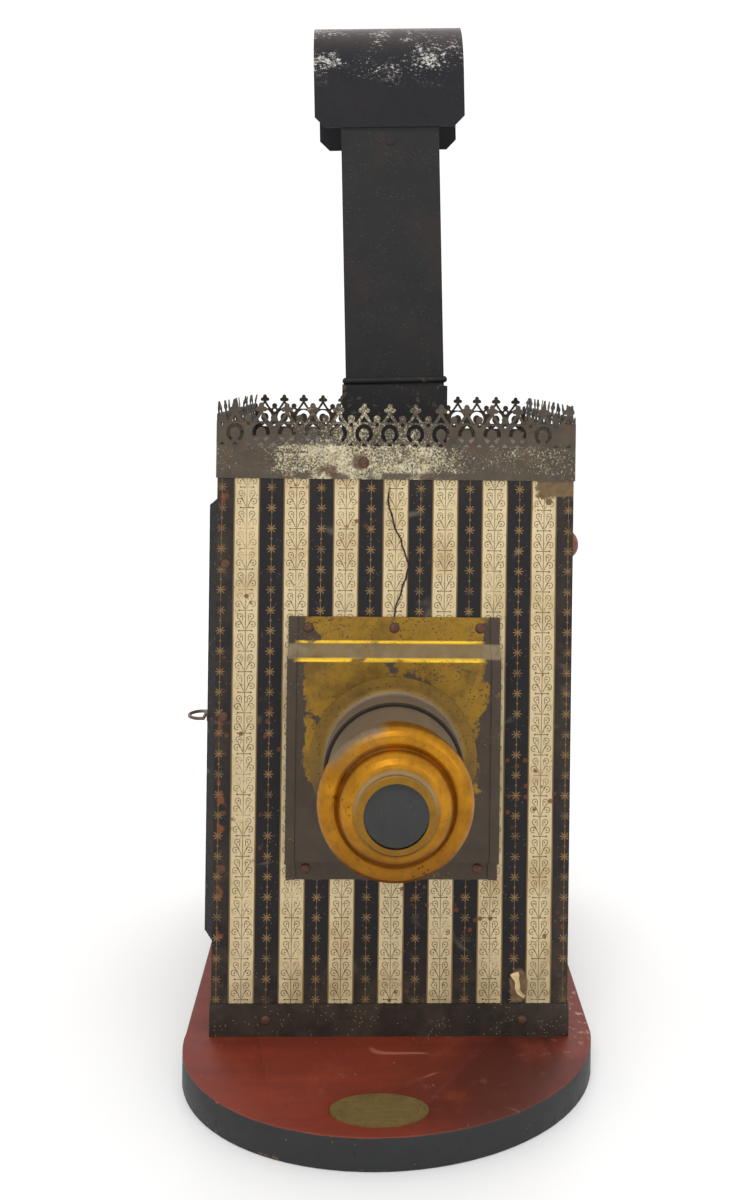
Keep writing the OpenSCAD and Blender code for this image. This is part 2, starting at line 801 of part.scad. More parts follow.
module lens_bell() {
    color("goldenrod") turned(concat(
        bell_profile(0),
        [[cell_r, dome_f + dome_h + 0.5], [cell_r, cell_front_f - 0.6],
         [cell_r - 0.6, cell_front_f], [glass_open_r, cell_front_f], [glass_open_r, glass_f + 0.3],
         [cell_in_r, glass_f + 0.3], [cell_in_r, dome_f + dome_h - 3]],
        [for (i = [25:-1:1]) bell_profile(brass_t - eps)[i]],
        [[tube_r, bell_back_f + 6], [tube_r, bell_back_f]]));
}

lens_rim_t = 1.2;
ring_w = 1.6;
lens_margin = max(ring_w, cell_in_r - glass_open_r) + 0.2;
front_sag = 1.5;

module front_lens() {
    color("lightsteelblue") turned(lens_profile(cell_in_r, lens_margin, glass_f + 0.3 - lens_rim_t / 2,
                                                lens_rim_t, front_sag * 0.6, front_sag));
}

module front_lens_ring() {
    f1 = glass_f + 0.3 - lens_rim_t;
    color("goldenrod") turned([[cell_in_r - ring_w, f1 - 1.6], [cell_in_r, f1 - 1.6],
                               [cell_in_r, f1], [cell_in_r - 0.8, f1]]);
}

rear_mid_f = tube_back_f + 7;
rear_rim_t = 1.6;

module rear_lens() {
    color("lightsteelblue") turned(lens_profile(rear_glass_r, ring_w + 0.2, rear_mid_f, rear_rim_t, 5, 3));
}

module rear_lens_ring() {
    f1 = rear_mid_f - rear_rim_t / 2;
    r = tube_r - brass_t;
    color("goldenrod") turned([[r - ring_w, f1 - 2], [r, f1 - 2], [r, f1], [r - 0.8, f1]]);
}

// ---- condenser -----------------------------------------------------------------------------

cell_bore_r = condenser_r + run_clear;
cell_flange_r = condenser_r + 6;

module condenser_cell() {
    f1 = -paper_t - tin_t;
    color("dimgray") turned([[cell_bore_r, -cell_depth], [cell_bore_r + tin_t, -cell_depth],
                             [cell_bore_r + tin_t, f1 - tin_t], [cell_flange_r, f1 - tin_t],
                             [cell_flange_r, f1], [cell_bore_r, f1],
                             [cell_bore_r, condenser_f - 1], [cell_bore_r - 1.4, condenser_f - 1],
                             [cell_bore_r - 1.4, -cell_depth]]);
}

condenser_rim_t = 2.4;

module condenser_lens() {
    sag = condenser_t - condenser_rim_t - 0.6;
    color("lightcyan") turned(lens_profile(condenser_r, ring_w + 0.2,
                                           condenser_f - 1 + 0.05 + condenser_rim_t / 2,
                                           condenser_rim_t, sag, 0.6));
}

module condenser_ring() {
    f0 = condenser_f - 1 + 0.05 + condenser_rim_t + 0.05;
    color("gray") turned([[cell_bore_r - 0.8, f0], [cell_bore_r, f0], [cell_bore_r, f0 + 1.6],
                          [cell_bore_r - ring_w, f0 + 1.6]]);
}

// ---- door ----------------------------------------------------------------------------------

// A pan with sloping rims: shrink moves every face inwards
module door_block(shrink, depth) {
    y0 = door_y0 + shrink;
    y1 = door_y1 - shrink;
    z0 = door_z0 + shrink;
    z1 = door_z1 - shrink;
    intersection() {
        translate([0, 0, z0]) linear_extrude(z1 - z0)
            polygon([[door_in_x, y0], [door_in_x, y1], [door_in_x - depth, y1 - door_rim],
                     [door_in_x - depth, y0 + door_rim]]);
        translate([0, y1, 0]) rotate([90, 0, 0]) linear_extrude(y1 - y0)
            polygon([[door_in_x, z0], [door_in_x, z1], [door_in_x - depth, z1 - door_rim],
                     [door_in_x - depth, z0 + door_rim]]);
    }
}

module door_pan() {
    color("black") difference() {
        door_block(0, door_pan_h);
        translate([eps, 0, 0]) door_block(tin_t * 1.4, door_pan_h - tin_t + eps);
        latch_hole();
    }
}

module latch_hole() {
    translate([0, latch_y, latch_z]) bar_x(wire_r + run_clear, door_skin_x - 2, -room_hw);
}

module door_paper() {
    color("tan") difference() {
        block([door_skin_x, door_y0 + door_rim, door_z0 + door_rim],
              [door_face_x, door_y1 - door_rim, door_z1 - door_rim]);
        latch_hole();
    }
}

// Knuckle k of a hinge, of 0, 1 and 2 from below
module knuckle(z, k) {
    gap = k == 1 ? sheet_gap / 2 : 0;
    translate([hinge_x, hinge_y, z + k * knuckle_h + gap])
        cylinder(r = barrel_r, h = knuckle_h - 2 * gap, $fn = 32);
}

module pin_hole(z) {
    translate([hinge_x, hinge_y, z - 1]) cylinder(r = hinge_pin_r + run_clear, h = hinge_h + 2, $fn = 32);
}

module door_hinge_leaves() {
    color("dimgray") for (z = hinge_zs) difference() {
        union() {
            knuckle(z, 1);
            block([door_skin_x - leaf_t, door_y1 - door_rim - leaf_w, z],
                  [door_skin_x, door_y1 - door_rim, z + hinge_h]);
            block([door_skin_x - leaf_t, door_y1 - door_rim - 1, z + knuckle_h + sheet_gap / 2],
                  [door_skin_x, hinge_y, z + 2 * knuckle_h - sheet_gap / 2]);
        }
        pin_hole(z);
    }
}

module wall_hinge_leaves() {
    color("dimgray") for (z = hinge_zs) difference() {
        union() {
            for (k = [0, 2]) {
                knuckle(z, k);
                block([-half_w - leaf_t, hinge_y, z + k * knuckle_h],
                      [-half_w, hinge_y + barrel_r + 1, z + (k + 1) * knuckle_h]);
            }
            block([-half_w - leaf_t, hinge_y + barrel_r + 0.5, z],
                  [-half_w, hinge_y + barrel_r + leaf_w, z + hinge_h]);
        }
        pin_hole(z);
    }
}

module hinge_pins() {
    color("silver") for (z = hinge_zs) translate([hinge_x, hinge_y, z - 1]) {
        cylinder(r = hinge_pin_r, h = hinge_h + 1, $fn = 32);
        translate([0, 0, hinge_h + 1]) cylinder(r = hinge_pin_r + 0.5, h = 0.8, $fn = 32);
    }
}

module latch_washer() {
    color("gray") difference() {
        translate([0, latch_y, latch_z]) bar_x(washer_r, door_skin_x - washer_t, door_skin_x);
        latch_hole();
    }
}

module door_latch() {
    grip_x = bar_x - 1.8;
    color("gray") translate([0, latch_y, latch_z]) {
        bar_x(wire_r, bar_x, tongue_x);
        translate([bar_x, -grip_r, 0]) rotate([-90, 0, 0]) cylinder(r = wire_r, h = 2 * grip_r, $fn = 24);
        for (s = [-1, 1]) translate([0, s * grip_r, 0]) {
            bar_x(wire_r, grip_x, bar_x);
            translate([bar_x, 0, 0]) sphere(r = wire_r, $fn = 24);
        }
        translate([grip_x, 0, 0]) rotate([0, 0, 90]) rotate_extrude(angle = 180, $fn = 48)
            translate([grip_r, 0]) circle(r = wire_r, $fn = 24);
        translate([tongue_x, 0, 0]) {
            sphere(r = wire_r, $fn = 24);
            cylinder(r = wire_r, h = tongue_len, $fn = 24);
        }
    }
}

// ---- lamp ----------------------------------------------------------------------------------

// A turned piece on the lamp's upright axis
module lamp_turned(points) {
    rotate_extrude() polygon(points);
}

module oil_font() {
    t = tin_t;
    side_z = lamp_z + font_side_h;
    color("silver") difference() {
        union() {
            lamp_turned(concat(
                [[0, lamp_z], [font_r, lamp_z], [font_r, side_z]],
                [for (i = [1:8]) let (a = 90 * i / 8)
                    [neck_r + (font_r - neck_r) * cos(a), side_z + font_dome_h * sin(a)]],
                [[neck_r, neck_z], [neck_r - t, neck_z], [neck_r - t, font_top_z - t]],
                [for (i = [7:-1:0]) let (a = 90 * i / 8)
                    [neck_r - t + (font_r - neck_r) * cos(a), side_z + (font_dome_h - t) * sin(a)]],
                [[font_r - t, lamp_z + t], [0, lamp_z + t]]));
            translate([cap_x, 0, side_z + 2]) cylinder(r = cap_r - 1.6, h = font_dome_h + 2, $fn = 48);
        }
        translate([cap_x, 0, side_z - 2]) cylinder(r = cap_r - 2.4, h = font_dome_h + 12, $fn = 48);
    }
}

cap_z = lamp_z + font_side_h + font_dome_h + 4;
cap_skirt = 3.4;

module filler_cap() {
    color("goldenrod") translate([cap_x, 0, cap_z + seat_gap]) difference() {
        union() {
            translate([0, 0, -cap_skirt]) cylinder(r = cap_r, h = cap_skirt + 1.2, $fn = 48);
            translate([0, 0, 1.2]) cylinder(r = 2.2, h = 2.4, $fn = 32);
            for (k = [0:11]) rotate([0, 0, 30 * k]) translate([cap_r, 0, -cap_skirt + 0.4])
                cylinder(r = 0.5, h = cap_skirt, $fn = 16);
        }
        translate([0, 0, -cap_skirt - 1]) cylinder(r = cap_r - 1.6 + 0.1, h = cap_skirt + 1, $fn = 48);
    }
}

module burner() {
    t = 0.7;
    basket_r = glass_foot_r + 1.6;
    z0 = neck_z - 3;
    z1 = burner_z - 9;
    color("goldenrod") difference() {
        union() {
            // Collar on the neck, basket and the gallery that holds the glass
            lamp_turned([[neck_r + 0.1, z0], [neck_r + 1.6, z0], [neck_r + 1.6, z0 + 4],
                         [basket_r, z0 + 9], [basket_r, z1],
                         [basket_r + 1.2, z1 + 1], [basket_r + 1.2, burner_z - 3],
                         [basket_r + 0.5, burner_z - 3], [basket_r + 0.5, glass_z - 0.2],
                         [tube_in_w / 2 + 3, glass_z - 0.2], [tube_in_w / 2 + 3, glass_z - 0.9],
                         [basket_r - t, glass_z - 0.9], [basket_r - t, z0 + 9.4],
                         [neck_r + 1.6 - t, neck_z + 0.8], [4, neck_z + 0.8],
                         [4, neck_z + 0.1], [neck_r + 0.1, neck_z + 0.1]]);
            // Wick tube
            block([-tube_in_w / 2 - t, -tube_in_t / 2 - t, neck_z - 6],
                  [tube_in_w / 2 + t, tube_in_t / 2 + t, burner_z]);
            // Web under the glass that ties the wick tube to the gallery
            block([-tube_in_w / 2 - 4, -tube_in_t / 2 - t, glass_z - 0.9],
                  [tube_in_w / 2 + 4, tube_in_t / 2 + t, glass_z - 0.2]);
            // Four prongs that steady the foot of the glass
            for (k = [0:3]) rotate([0, 0, 45 + 90 * k])
                block([glass_foot_r + sheet_gap, -2.5, glass_z - 0.9],
                      [glass_foot_r + sheet_gap + t, 2.5, burner_z + 1]);
            // Boss that carries the wick shaft
            translate([0, wheel_y, shaft_z]) bar_x(shaft_r + 1, -basket_r - 1.5, -basket_r + 1);
        }
        block([-tube_in_w / 2, -tube_in_t / 2, neck_z - 7], [tube_in_w / 2, tube_in_t / 2, burner_z + 1]);
        for (x = [-4, 4]) translate([x, wheel_y, shaft_z]) bar_x(wheel_r + sheet_gap, -1, 1);
        translate([0, wheel_y, shaft_z]) bar_x(shaft_r + run_clear, -basket_r - 3, basket_r + 2);
        // Air holes round the basket
        for (k = [0:11]) rotate([0, 0, 30 * k + 15]) translate([0, 0, z0 + 12.6 + (k % 2) * 4])
            bar_x(1.3, basket_r - 2, basket_r + 2);
    }
}

module wick() {
    color("ivory") block([-wick_w / 2, -wick_t / 2, lamp_z + 6], [wick_w / 2, wick_t / 2, burner_z + 1.5]);
}

module wick_shaft() {
    color("goldenrod") translate([0, wheel_y, shaft_z]) {
        bar_x(shaft_r, knob_x, 9);
        for (x = [-4, 4]) difference() {
            translate([x, 0, 0]) bar_x(wheel_r, -0.7, 0.7);
            for (k = [0:9]) rotate([36 * k, 0, 0]) translate([x, 0, wheel_r]) rotate([45, 0, 0])
                cube([2, 0.8, 0.8], center = true);
        }
        difference() {
            bar_x(knob_r, knob_x - 2.4, knob_x);
            for (k = [0:23]) rotate([15 * k, 0, 0]) translate([knob_x - 1.2, 0, knob_r]) rotate([45, 0, 0])
                cube([4, 0.7, 0.7], center = true);
        }
    }
}

// Outside radius of the glass at a share of its height
function glass_r(u) =
    u < 0.08 ? glass_foot_r
    : u < 0.30 ? glass_foot_r + (glass_bulge_r - glass_foot_r) * sin((u - 0.08) / 0.22 * 180) ^ 0.9
    : glass_foot_r - 1.8 * min(1, (u - 0.30) / 0.25);

module lamp_glass() {
    n = 36;
    color("lightcyan") lamp_turned(concat(
        [for (i = [0:n]) [glass_r(i / n), glass_z + glass_h * i / n]],
        [for (i = [n:-1:0]) [glass_r(i / n) - glass_t, glass_z + glass_h * i / n]]));
}

// ---- reflector -----------------------------------------------------------------------------

module reflector() {
    R = (reflector_r * reflector_r + reflector_sag * reflector_sag) / (2 * reflector_sag);
    a = asin(reflector_r / R);
    t = tin_t;
    color("lightgray") translate([0, reflector_back, flame_z]) rotate([90, 0, 0]) difference() {
        rotate_extrude() polygon(concat(
            [for (i = [0:12]) let (b = a * i / 12) [R * sin(b), R * (1 - cos(b))]],
            [[reflector_r + 1.6, reflector_sag], [reflector_r + 1.6, reflector_sag + t]],
            [for (i = [12:-1:0]) let (b = a * i / 12) [(R - t) * sin(b), R - (R - t) * cos(b)]]));
        translate([0, 0, -1]) cylinder(r = rivet_shank_r, h = 4, $fn = 24);
    }
}

module reflector_bracket() {
    strap_w = 12;
    strap_t = 1;
    y1 = reflector_back + strap_t;
    band_z0 = lamp_z + 10;
    band_z1 = band_z0 + 12;
    color("dimgray") {
        // Strap from the band up behind the reflector, with the rivet that holds the dish
        difference() {
            block([-strap_w / 2, reflector_back, band_z0], [strap_w / 2, y1, flame_z + 7]);
            translate([0, reflector_back - 1, flame_z]) rotate([-90, 0, 0])
                cylinder(r = rivet_shank_r, h = 4, $fn = 24);
        }
        translate([0, reflector_back - 1.2, flame_z]) rotate([-90, 0, 0])
            cylinder(r = rivet_shank_r, h = 1.2 + strap_t + 0.6, $fn = 24);
        translate([0, y1, flame_z]) rotate([-90, 0, 0]) cylinder(r = 2.2, h = 0.6, $fn = 24);
        translate([0, reflector_back - 1.2 - 0.5, flame_z]) rotate([-90, 0, 0])
            cylinder(r = 1.8, h = 0.5, $fn = 24);
        // Foot that joins the strap to the band
        block([-strap_w / 2, font_r + run_clear, band_z0], [strap_w / 2, y1, band_z0 + strap_t]);
        // Band sprung round the font
        translate([0, 0, band_z0]) difference() {
            cylinder(r = font_r + run_clear + tin_t, h = band_z1 - band_z0);
            translate([0, 0, -1]) cylinder(r = font_r + run_clear, h = band_z1 - band_z0 + 2);
        }
    }
}

base_board();
oval_plate();
plate_pins();
floor_pan();
floor_screws();
lamp_seat();
front_panel();
back_panel();
right_panel();
left_panel();
front_paper();
back_paper();
right_paper();
left_paper();
foot_band();
foot_band_rivets();
edge_rivets();
side_vent_cap();
gallery_front();
gallery_back();
gallery_right();
gallery_left();
gallery_rivets();
roof_plate();
chimney_socket();
chimney_duct();
duct_stay();
chimney_cowl();
cowl_rivets();
slide_stage();
stage_rivets();
lens_collar();
draw_tube();
lens_bell();
front_lens();
front_lens_ring();
rear_lens();
rear_lens_ring();
condenser_cell();
condenser_lens();
condenser_ring();
door_pan();
door_paper();
door_hinge_leaves();
wall_hinge_leaves();
hinge_pins();
latch_washer();
door_latch();
oil_font();
filler_cap();
burner();
wick();
wick_shaft();
lamp_glass();
reflector();
reflector_bracket();
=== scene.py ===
import math

import bmesh
import bpy
from mathutils import Matrix, Vector, noise


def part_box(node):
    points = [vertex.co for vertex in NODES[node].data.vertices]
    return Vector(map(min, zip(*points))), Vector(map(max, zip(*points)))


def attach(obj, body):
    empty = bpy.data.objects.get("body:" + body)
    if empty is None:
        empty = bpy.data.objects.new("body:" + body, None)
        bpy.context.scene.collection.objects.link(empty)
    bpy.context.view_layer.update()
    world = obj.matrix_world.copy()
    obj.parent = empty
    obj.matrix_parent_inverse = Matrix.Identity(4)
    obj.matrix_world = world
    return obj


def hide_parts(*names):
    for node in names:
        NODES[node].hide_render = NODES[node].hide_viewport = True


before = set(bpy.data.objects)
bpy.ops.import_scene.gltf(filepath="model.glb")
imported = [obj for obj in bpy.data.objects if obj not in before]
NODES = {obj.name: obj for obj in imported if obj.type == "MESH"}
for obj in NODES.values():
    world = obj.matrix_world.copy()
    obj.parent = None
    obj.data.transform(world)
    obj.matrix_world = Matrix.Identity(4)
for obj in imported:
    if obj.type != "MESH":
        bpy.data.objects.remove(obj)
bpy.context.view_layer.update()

bl_info = {
    "name": "Lantern Dresser",
    "version": (1, 0, 0),
    "blender": (4, 5, 0),
    "location": "3D View > Sidebar > Lantern",
    "description": "Finishes a papered tin slide lantern: cresting, paper, worn metals, board, lamp and a plain stage",
    "category": "Object",
}

MM = 0.001


# ---- small helpers -------------------------------------------------------------------------

def rgb(r, g, b):
    """A colour given in the usual 0 to 255 steps, as linear values."""
    def linear(v):
        v = v / 255
        return v / 12.92 if v <= 0.04045 else ((v + 0.055) / 1.055) ** 2.4
    return linear(r), linear(g), linear(b)


def rgba(colour):
    return (*tuple(colour)[:3], 1.0)


def middle(node):
    """The centre of a node's box."""
    low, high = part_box(node)
    return (low + high) / 2


# ---- shader maths --------------------------------------------------------------------------

class Val:
    """One socket. Arithmetic on it adds Math nodes."""

    def __init__(self, finish, socket):
        self.finish, self.socket = finish, socket

    def math(self, operation, *others, clamp=False):
        settings = {"operation": operation, "use_clamp": clamp}
        return self.finish.add("ShaderNodeMath", settings, dict(enumerate((self, *others))))

    def __add__(self, other): return self.math("ADD", other)
    def __radd__(self, other): return self.math("ADD", other)
    def __sub__(self, other): return self.math("SUBTRACT", other)
    def __mul__(self, other): return self.math("MULTIPLY", other)
    def __rmul__(self, other): return self.math("MULTIPLY", other)
    def __truediv__(self, other): return self.math("DIVIDE", other)
    def __rsub__(self, other):
        return self.finish.add("ShaderNodeMath", {"operation": "SUBTRACT"}, {0: other, 1: self})

    def __neg__(self): return self.math("MULTIPLY", -1.0)
    def __abs__(self): return self.math("ABSOLUTE")
    def __pow__(self, other): return self.math("POWER", other)
    def least(self, other): return self.math("MINIMUM", other)
    def most(self, other): return self.math("MAXIMUM", other)
    def clamped(self): return self.math("ADD", 0.0, clamp=True)

    def rise(self, low, high):
        """0 below low, 1 above high, and smooth between them. high may be the lower one."""
        return self.finish.add("ShaderNodeMapRange", {"interpolation_type": "SMOOTHSTEP"},
                               {"Value": self, "From Min": low, "From Max": high})

    def inside(self, limit, soft):
        """1 where the value is under the limit, 0 above it, with a soft edge."""
        return self.math("MULTIPLY_ADD", -1.0 / soft, limit / soft + 0.5, clamp=True)


class Finish:
    """A material under construction, with the object's coordinates ready for use."""

    def __init__(self, name):
        self.material = bpy.data.materials.new(name)
        self.material.use_nodes = True
        self.tree = self.material.node_tree
        self.tree.nodes.clear()
        self.place = self.add("ShaderNodeTexCoord", out="Object")
        split = self.add("ShaderNodeSeparateXYZ", inputs={0: self.place}, out=None)
        self.x, self.y, self.z = (Val(self, s) for s in split.outputs)

    def add(self, kind, settings=None, inputs=None, out=0):
        """Adds one node. Settings come first, then the values or links of its sockets."""
        node = self.tree.nodes.new(kind)
        for key, value in (settings or {}).items():
            if key == "stops":
                ramp = node.color_ramp
                while len(ramp.elements) < len(value):
                    ramp.elements.new(1.0)
                for element, (position, colour) in zip(ramp.elements, value):
                    element.position, element.color = position, colour
            else:
                setattr(node, key, value)
        for key, value in (inputs or {}).items():
            if isinstance(value, Val):
                self.tree.links.new(value.socket, node.inputs[key])
            else:
                node.inputs[key].default_value = value
        return node if out is None else Val(self, node.outputs[out])

    def mixed(self, share, first, second, blend="MIX"):
        """A colour between two colours."""
        node = self.add("ShaderNodeMix", {"data_type": "RGBA", "blend_type": blend}, out=None)
        for index, value in ((0, share), (6, first), (7, second)):
            if isinstance(value, Val):
                self.tree.links.new(value.socket, node.inputs[index])
            elif index == 0:
                node.inputs[index].default_value = value
            else:
                node.inputs[index].default_value = rgba(value)
        return Val(self, node.outputs[2])

    def ramp(self, value, stops):
        return self.add("ShaderNodeValToRGB", {"stops": [(p, rgba(c)) for p, c in stops]}, {0: value})

    def stretched(self, stretch=(1, 1, 1), shift=(0, 0, 0)):
        return self.add("ShaderNodeMapping", inputs={"Vector": self.place, "Scale": stretch, "Location": shift})

    def cloud(self, size, detail=3.0, rough=0.5, stretch=(1, 1, 1), shift=(0, 0, 0), twist=0.0):
        """Soft noise whose blots are about size millimetres across."""
        return self.add("ShaderNodeTexNoise", inputs={
            "Vector": self.stretched(stretch, shift), "Scale": 1.0 / (size * MM), "Detail": detail,
            "Roughness": rough, "Distortion": twist})

    def cells(self, size, feature="F1", stretch=(1, 1, 1), shift=(0, 0, 0), out="Distance", random=1.0):
        return self.add("ShaderNodeTexVoronoi", {"feature": feature}, {
            "Vector": self.stretched(stretch, shift), "Scale": 1.0 / (size * MM), "Randomness": random}, out=out)

    def specks(self, size, reach=0.25, amount=0.5, shift=(0, 0, 0)):
        """Small scattered dots, thinned out by a soft cloud."""
        dots = self.cells(size, shift=shift).inside(reach, 0.08)
        return dots * self.cloud(size * 6, 2.0, shift=shift).rise(1.0 - amount, 1.05 - amount)

    def scratches(self, size, reach=0.02, turn=0.4, shift=(0, 0, 0)):
        """Thin lines where long soft noise crosses its middle value."""
        lines = abs(self.cloud(size, 1.0, stretch=(turn, 1.0, 1.0 - turn * 0.8), shift=shift) - 0.5)
        return lines.inside(reach, reach) * self.cloud(size * 0.7, 2.0, shift=shift).rise(0.55, 0.7)

    def done(self, colour, rough=0.5, metal=0.0, height=None, relief=0.2, **plain):
        """Ends the material with one surface shader. plain holds unlinked sockets."""
        inputs = {"Base Color": colour if isinstance(colour, Val) else rgba(colour),
                  "Roughness": rough, "Metallic": metal}
        if height is not None:
            inputs["Normal"] = self.add("ShaderNodeBump", inputs={
                "Height": height, "Strength": 1.0, "Distance": relief * MM})
        inputs.update({key.replace("_", " "): value for key, value in plain.items()})
        shader = self.add("ShaderNodeBsdfPrincipled", inputs=inputs)
        self.add("ShaderNodeOutputMaterial", inputs={"Surface": shader}, out=None)
        return self.material


def dress(material, *names):
    """Gives CAD nodes a material."""
    for name in names:
        mesh = NODES[name].data
        if not mesh.materials:
            mesh.materials.append(material)
        for index in range(len(mesh.materials)):
            mesh.materials[index] = material


def piece(name, bm, material, body, replaced=(), crease=35.0):
    """Makes a finished piece from a bmesh and hangs it on a body."""
    mesh = bpy.data.meshes.new(name)
    bm.to_mesh(mesh)
    bm.free()
    mesh.shade_smooth()
    mesh.set_sharp_from_angle(angle=math.radians(crease))
    obj = bpy.data.objects.new(name, mesh)
    bpy.context.scene.collection.objects.link(obj)
    mesh.materials.append(material)
    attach(obj, body)
    if replaced:
        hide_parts(*replaced)
    return obj


def merged_copy(node, bevel=0.0, edge_angle=50.0):
    """A clean copy of a CAD node's mesh, with its sharp edges eased."""
    bm = bmesh.new()
    bm.from_mesh(NODES[node].data)
    bmesh.ops.remove_doubles(bm, verts=bm.verts, dist=2e-6)
    bmesh.ops.dissolve_limit(bm, angle_limit=math.radians(0.6), verts=bm.verts, edges=bm.edges)
    if bevel:
        sharp = [e for e in bm.edges if e.is_manifold and e.calc_face_angle(0.0) > math.radians(edge_angle)]
        bmesh.ops.bevel(bm, geom=sharp, offset=bevel, affect="EDGES", segments=2, profile=0.5, material=-1,
                        clamp_overlap=True)
    return bm


# ---- settings ------------------------------------------------------------------------------

def length(name, default, description):
    return bpy.props.FloatProperty(name=name, description=description, default=default, min=0.0,
                                   subtype="DISTANCE", unit="LENGTH", precision=5)


def tint(name, default, description):
    return bpy.props.FloatVectorProperty(name=name, description=description, default=default, size=3,
                                         min=0.0, max=1.0, subtype="COLOR")


class LanternSizes(bpy.types.PropertyGroup):
    """Sizes of the pattern and of the pieces that are made here."""
    stripe: length("Stripe repeat", 0.0228, "Distance between the middles of two cream stripes")
    cream_half: length("Half cream stripe", 0.0054, "Half the width of a cream stripe")
    repeat: length("Pattern height", 0.009405, "Height of one scroll and one star")
    first_bar: length("Height of a bar", 0.0777, "Height above the ground of one of the bars")
    crest_repeat: length("Crest repeat", 0.0119, "Aimed distance between two crests")
    crest_phase: length("Crest shift", 0.0026, "How far the front crests are shifted to the right")
    crest_bend: length("Crest bend", 0.0011, "How far the tips of the crests lean out of line")
    sheet: length("Sheet", 0.0006, "Thickness of the pierced sheet")


class LanternColours(bpy.types.PropertyGroup):
    """Main colours."""
    cream: tint("Cream", rgb(206, 188, 150), "Ground of the cream stripes")
    ink: tint("Ink", rgb(60, 44, 26), "Lines on the cream stripes")
    black: tint("Black stripe", rgb(19, 17, 20), "Ground of the black stripes")
    gold: tint("Star gold", rgb(138, 102, 52), "Stars and their line")
    brass: tint("Brass", rgb(160, 122, 36), "Lacquered sheet brass")
    lacquer: tint("Lacquer", rgb(178, 122, 30), "Lacquer on the lens bell")
    tin: tint("Dark tin", rgb(50, 43, 36), "Oxidised tinplate")
    board: tint("Board red", rgb(122, 44, 26), "Paint on top of the board")
    japan: tint("Black japan", rgb(24, 24, 26), "Chimney and door pan")


class StageSettings(bpy.types.PropertyGroup):
    """Camera and light."""
    distance: length("Camera distance", 0.590, "Distance of the camera in front of the body's middle")
    aside: length("Camera aside", 0.0125, "Distance of the camera to the left of the middle")
    height: length("Camera height", 0.320, "Height of the level camera above the table")
    lens: bpy.props.FloatProperty(name="Lens", description="Focal length of the camera, in millimetres",
                                  default=33.0, min=10.0, subtype="DISTANCE_CAMERA")
    roll: bpy.props.FloatProperty(name="Roll", description="Small sideways lean of the camera",
                                  default=math.radians(-0.72), subtype="ANGLE", unit="ROTATION")
    key: bpy.props.FloatProperty(name="Key light", description="Power of the large soft light",
                                 default=5.0, min=0.0, subtype="POWER", unit="POWER")
    floor: length("Floor", 6.0, "Half the width of the pale floor")


# ---- paper ---------------------------------------------------------------------------------

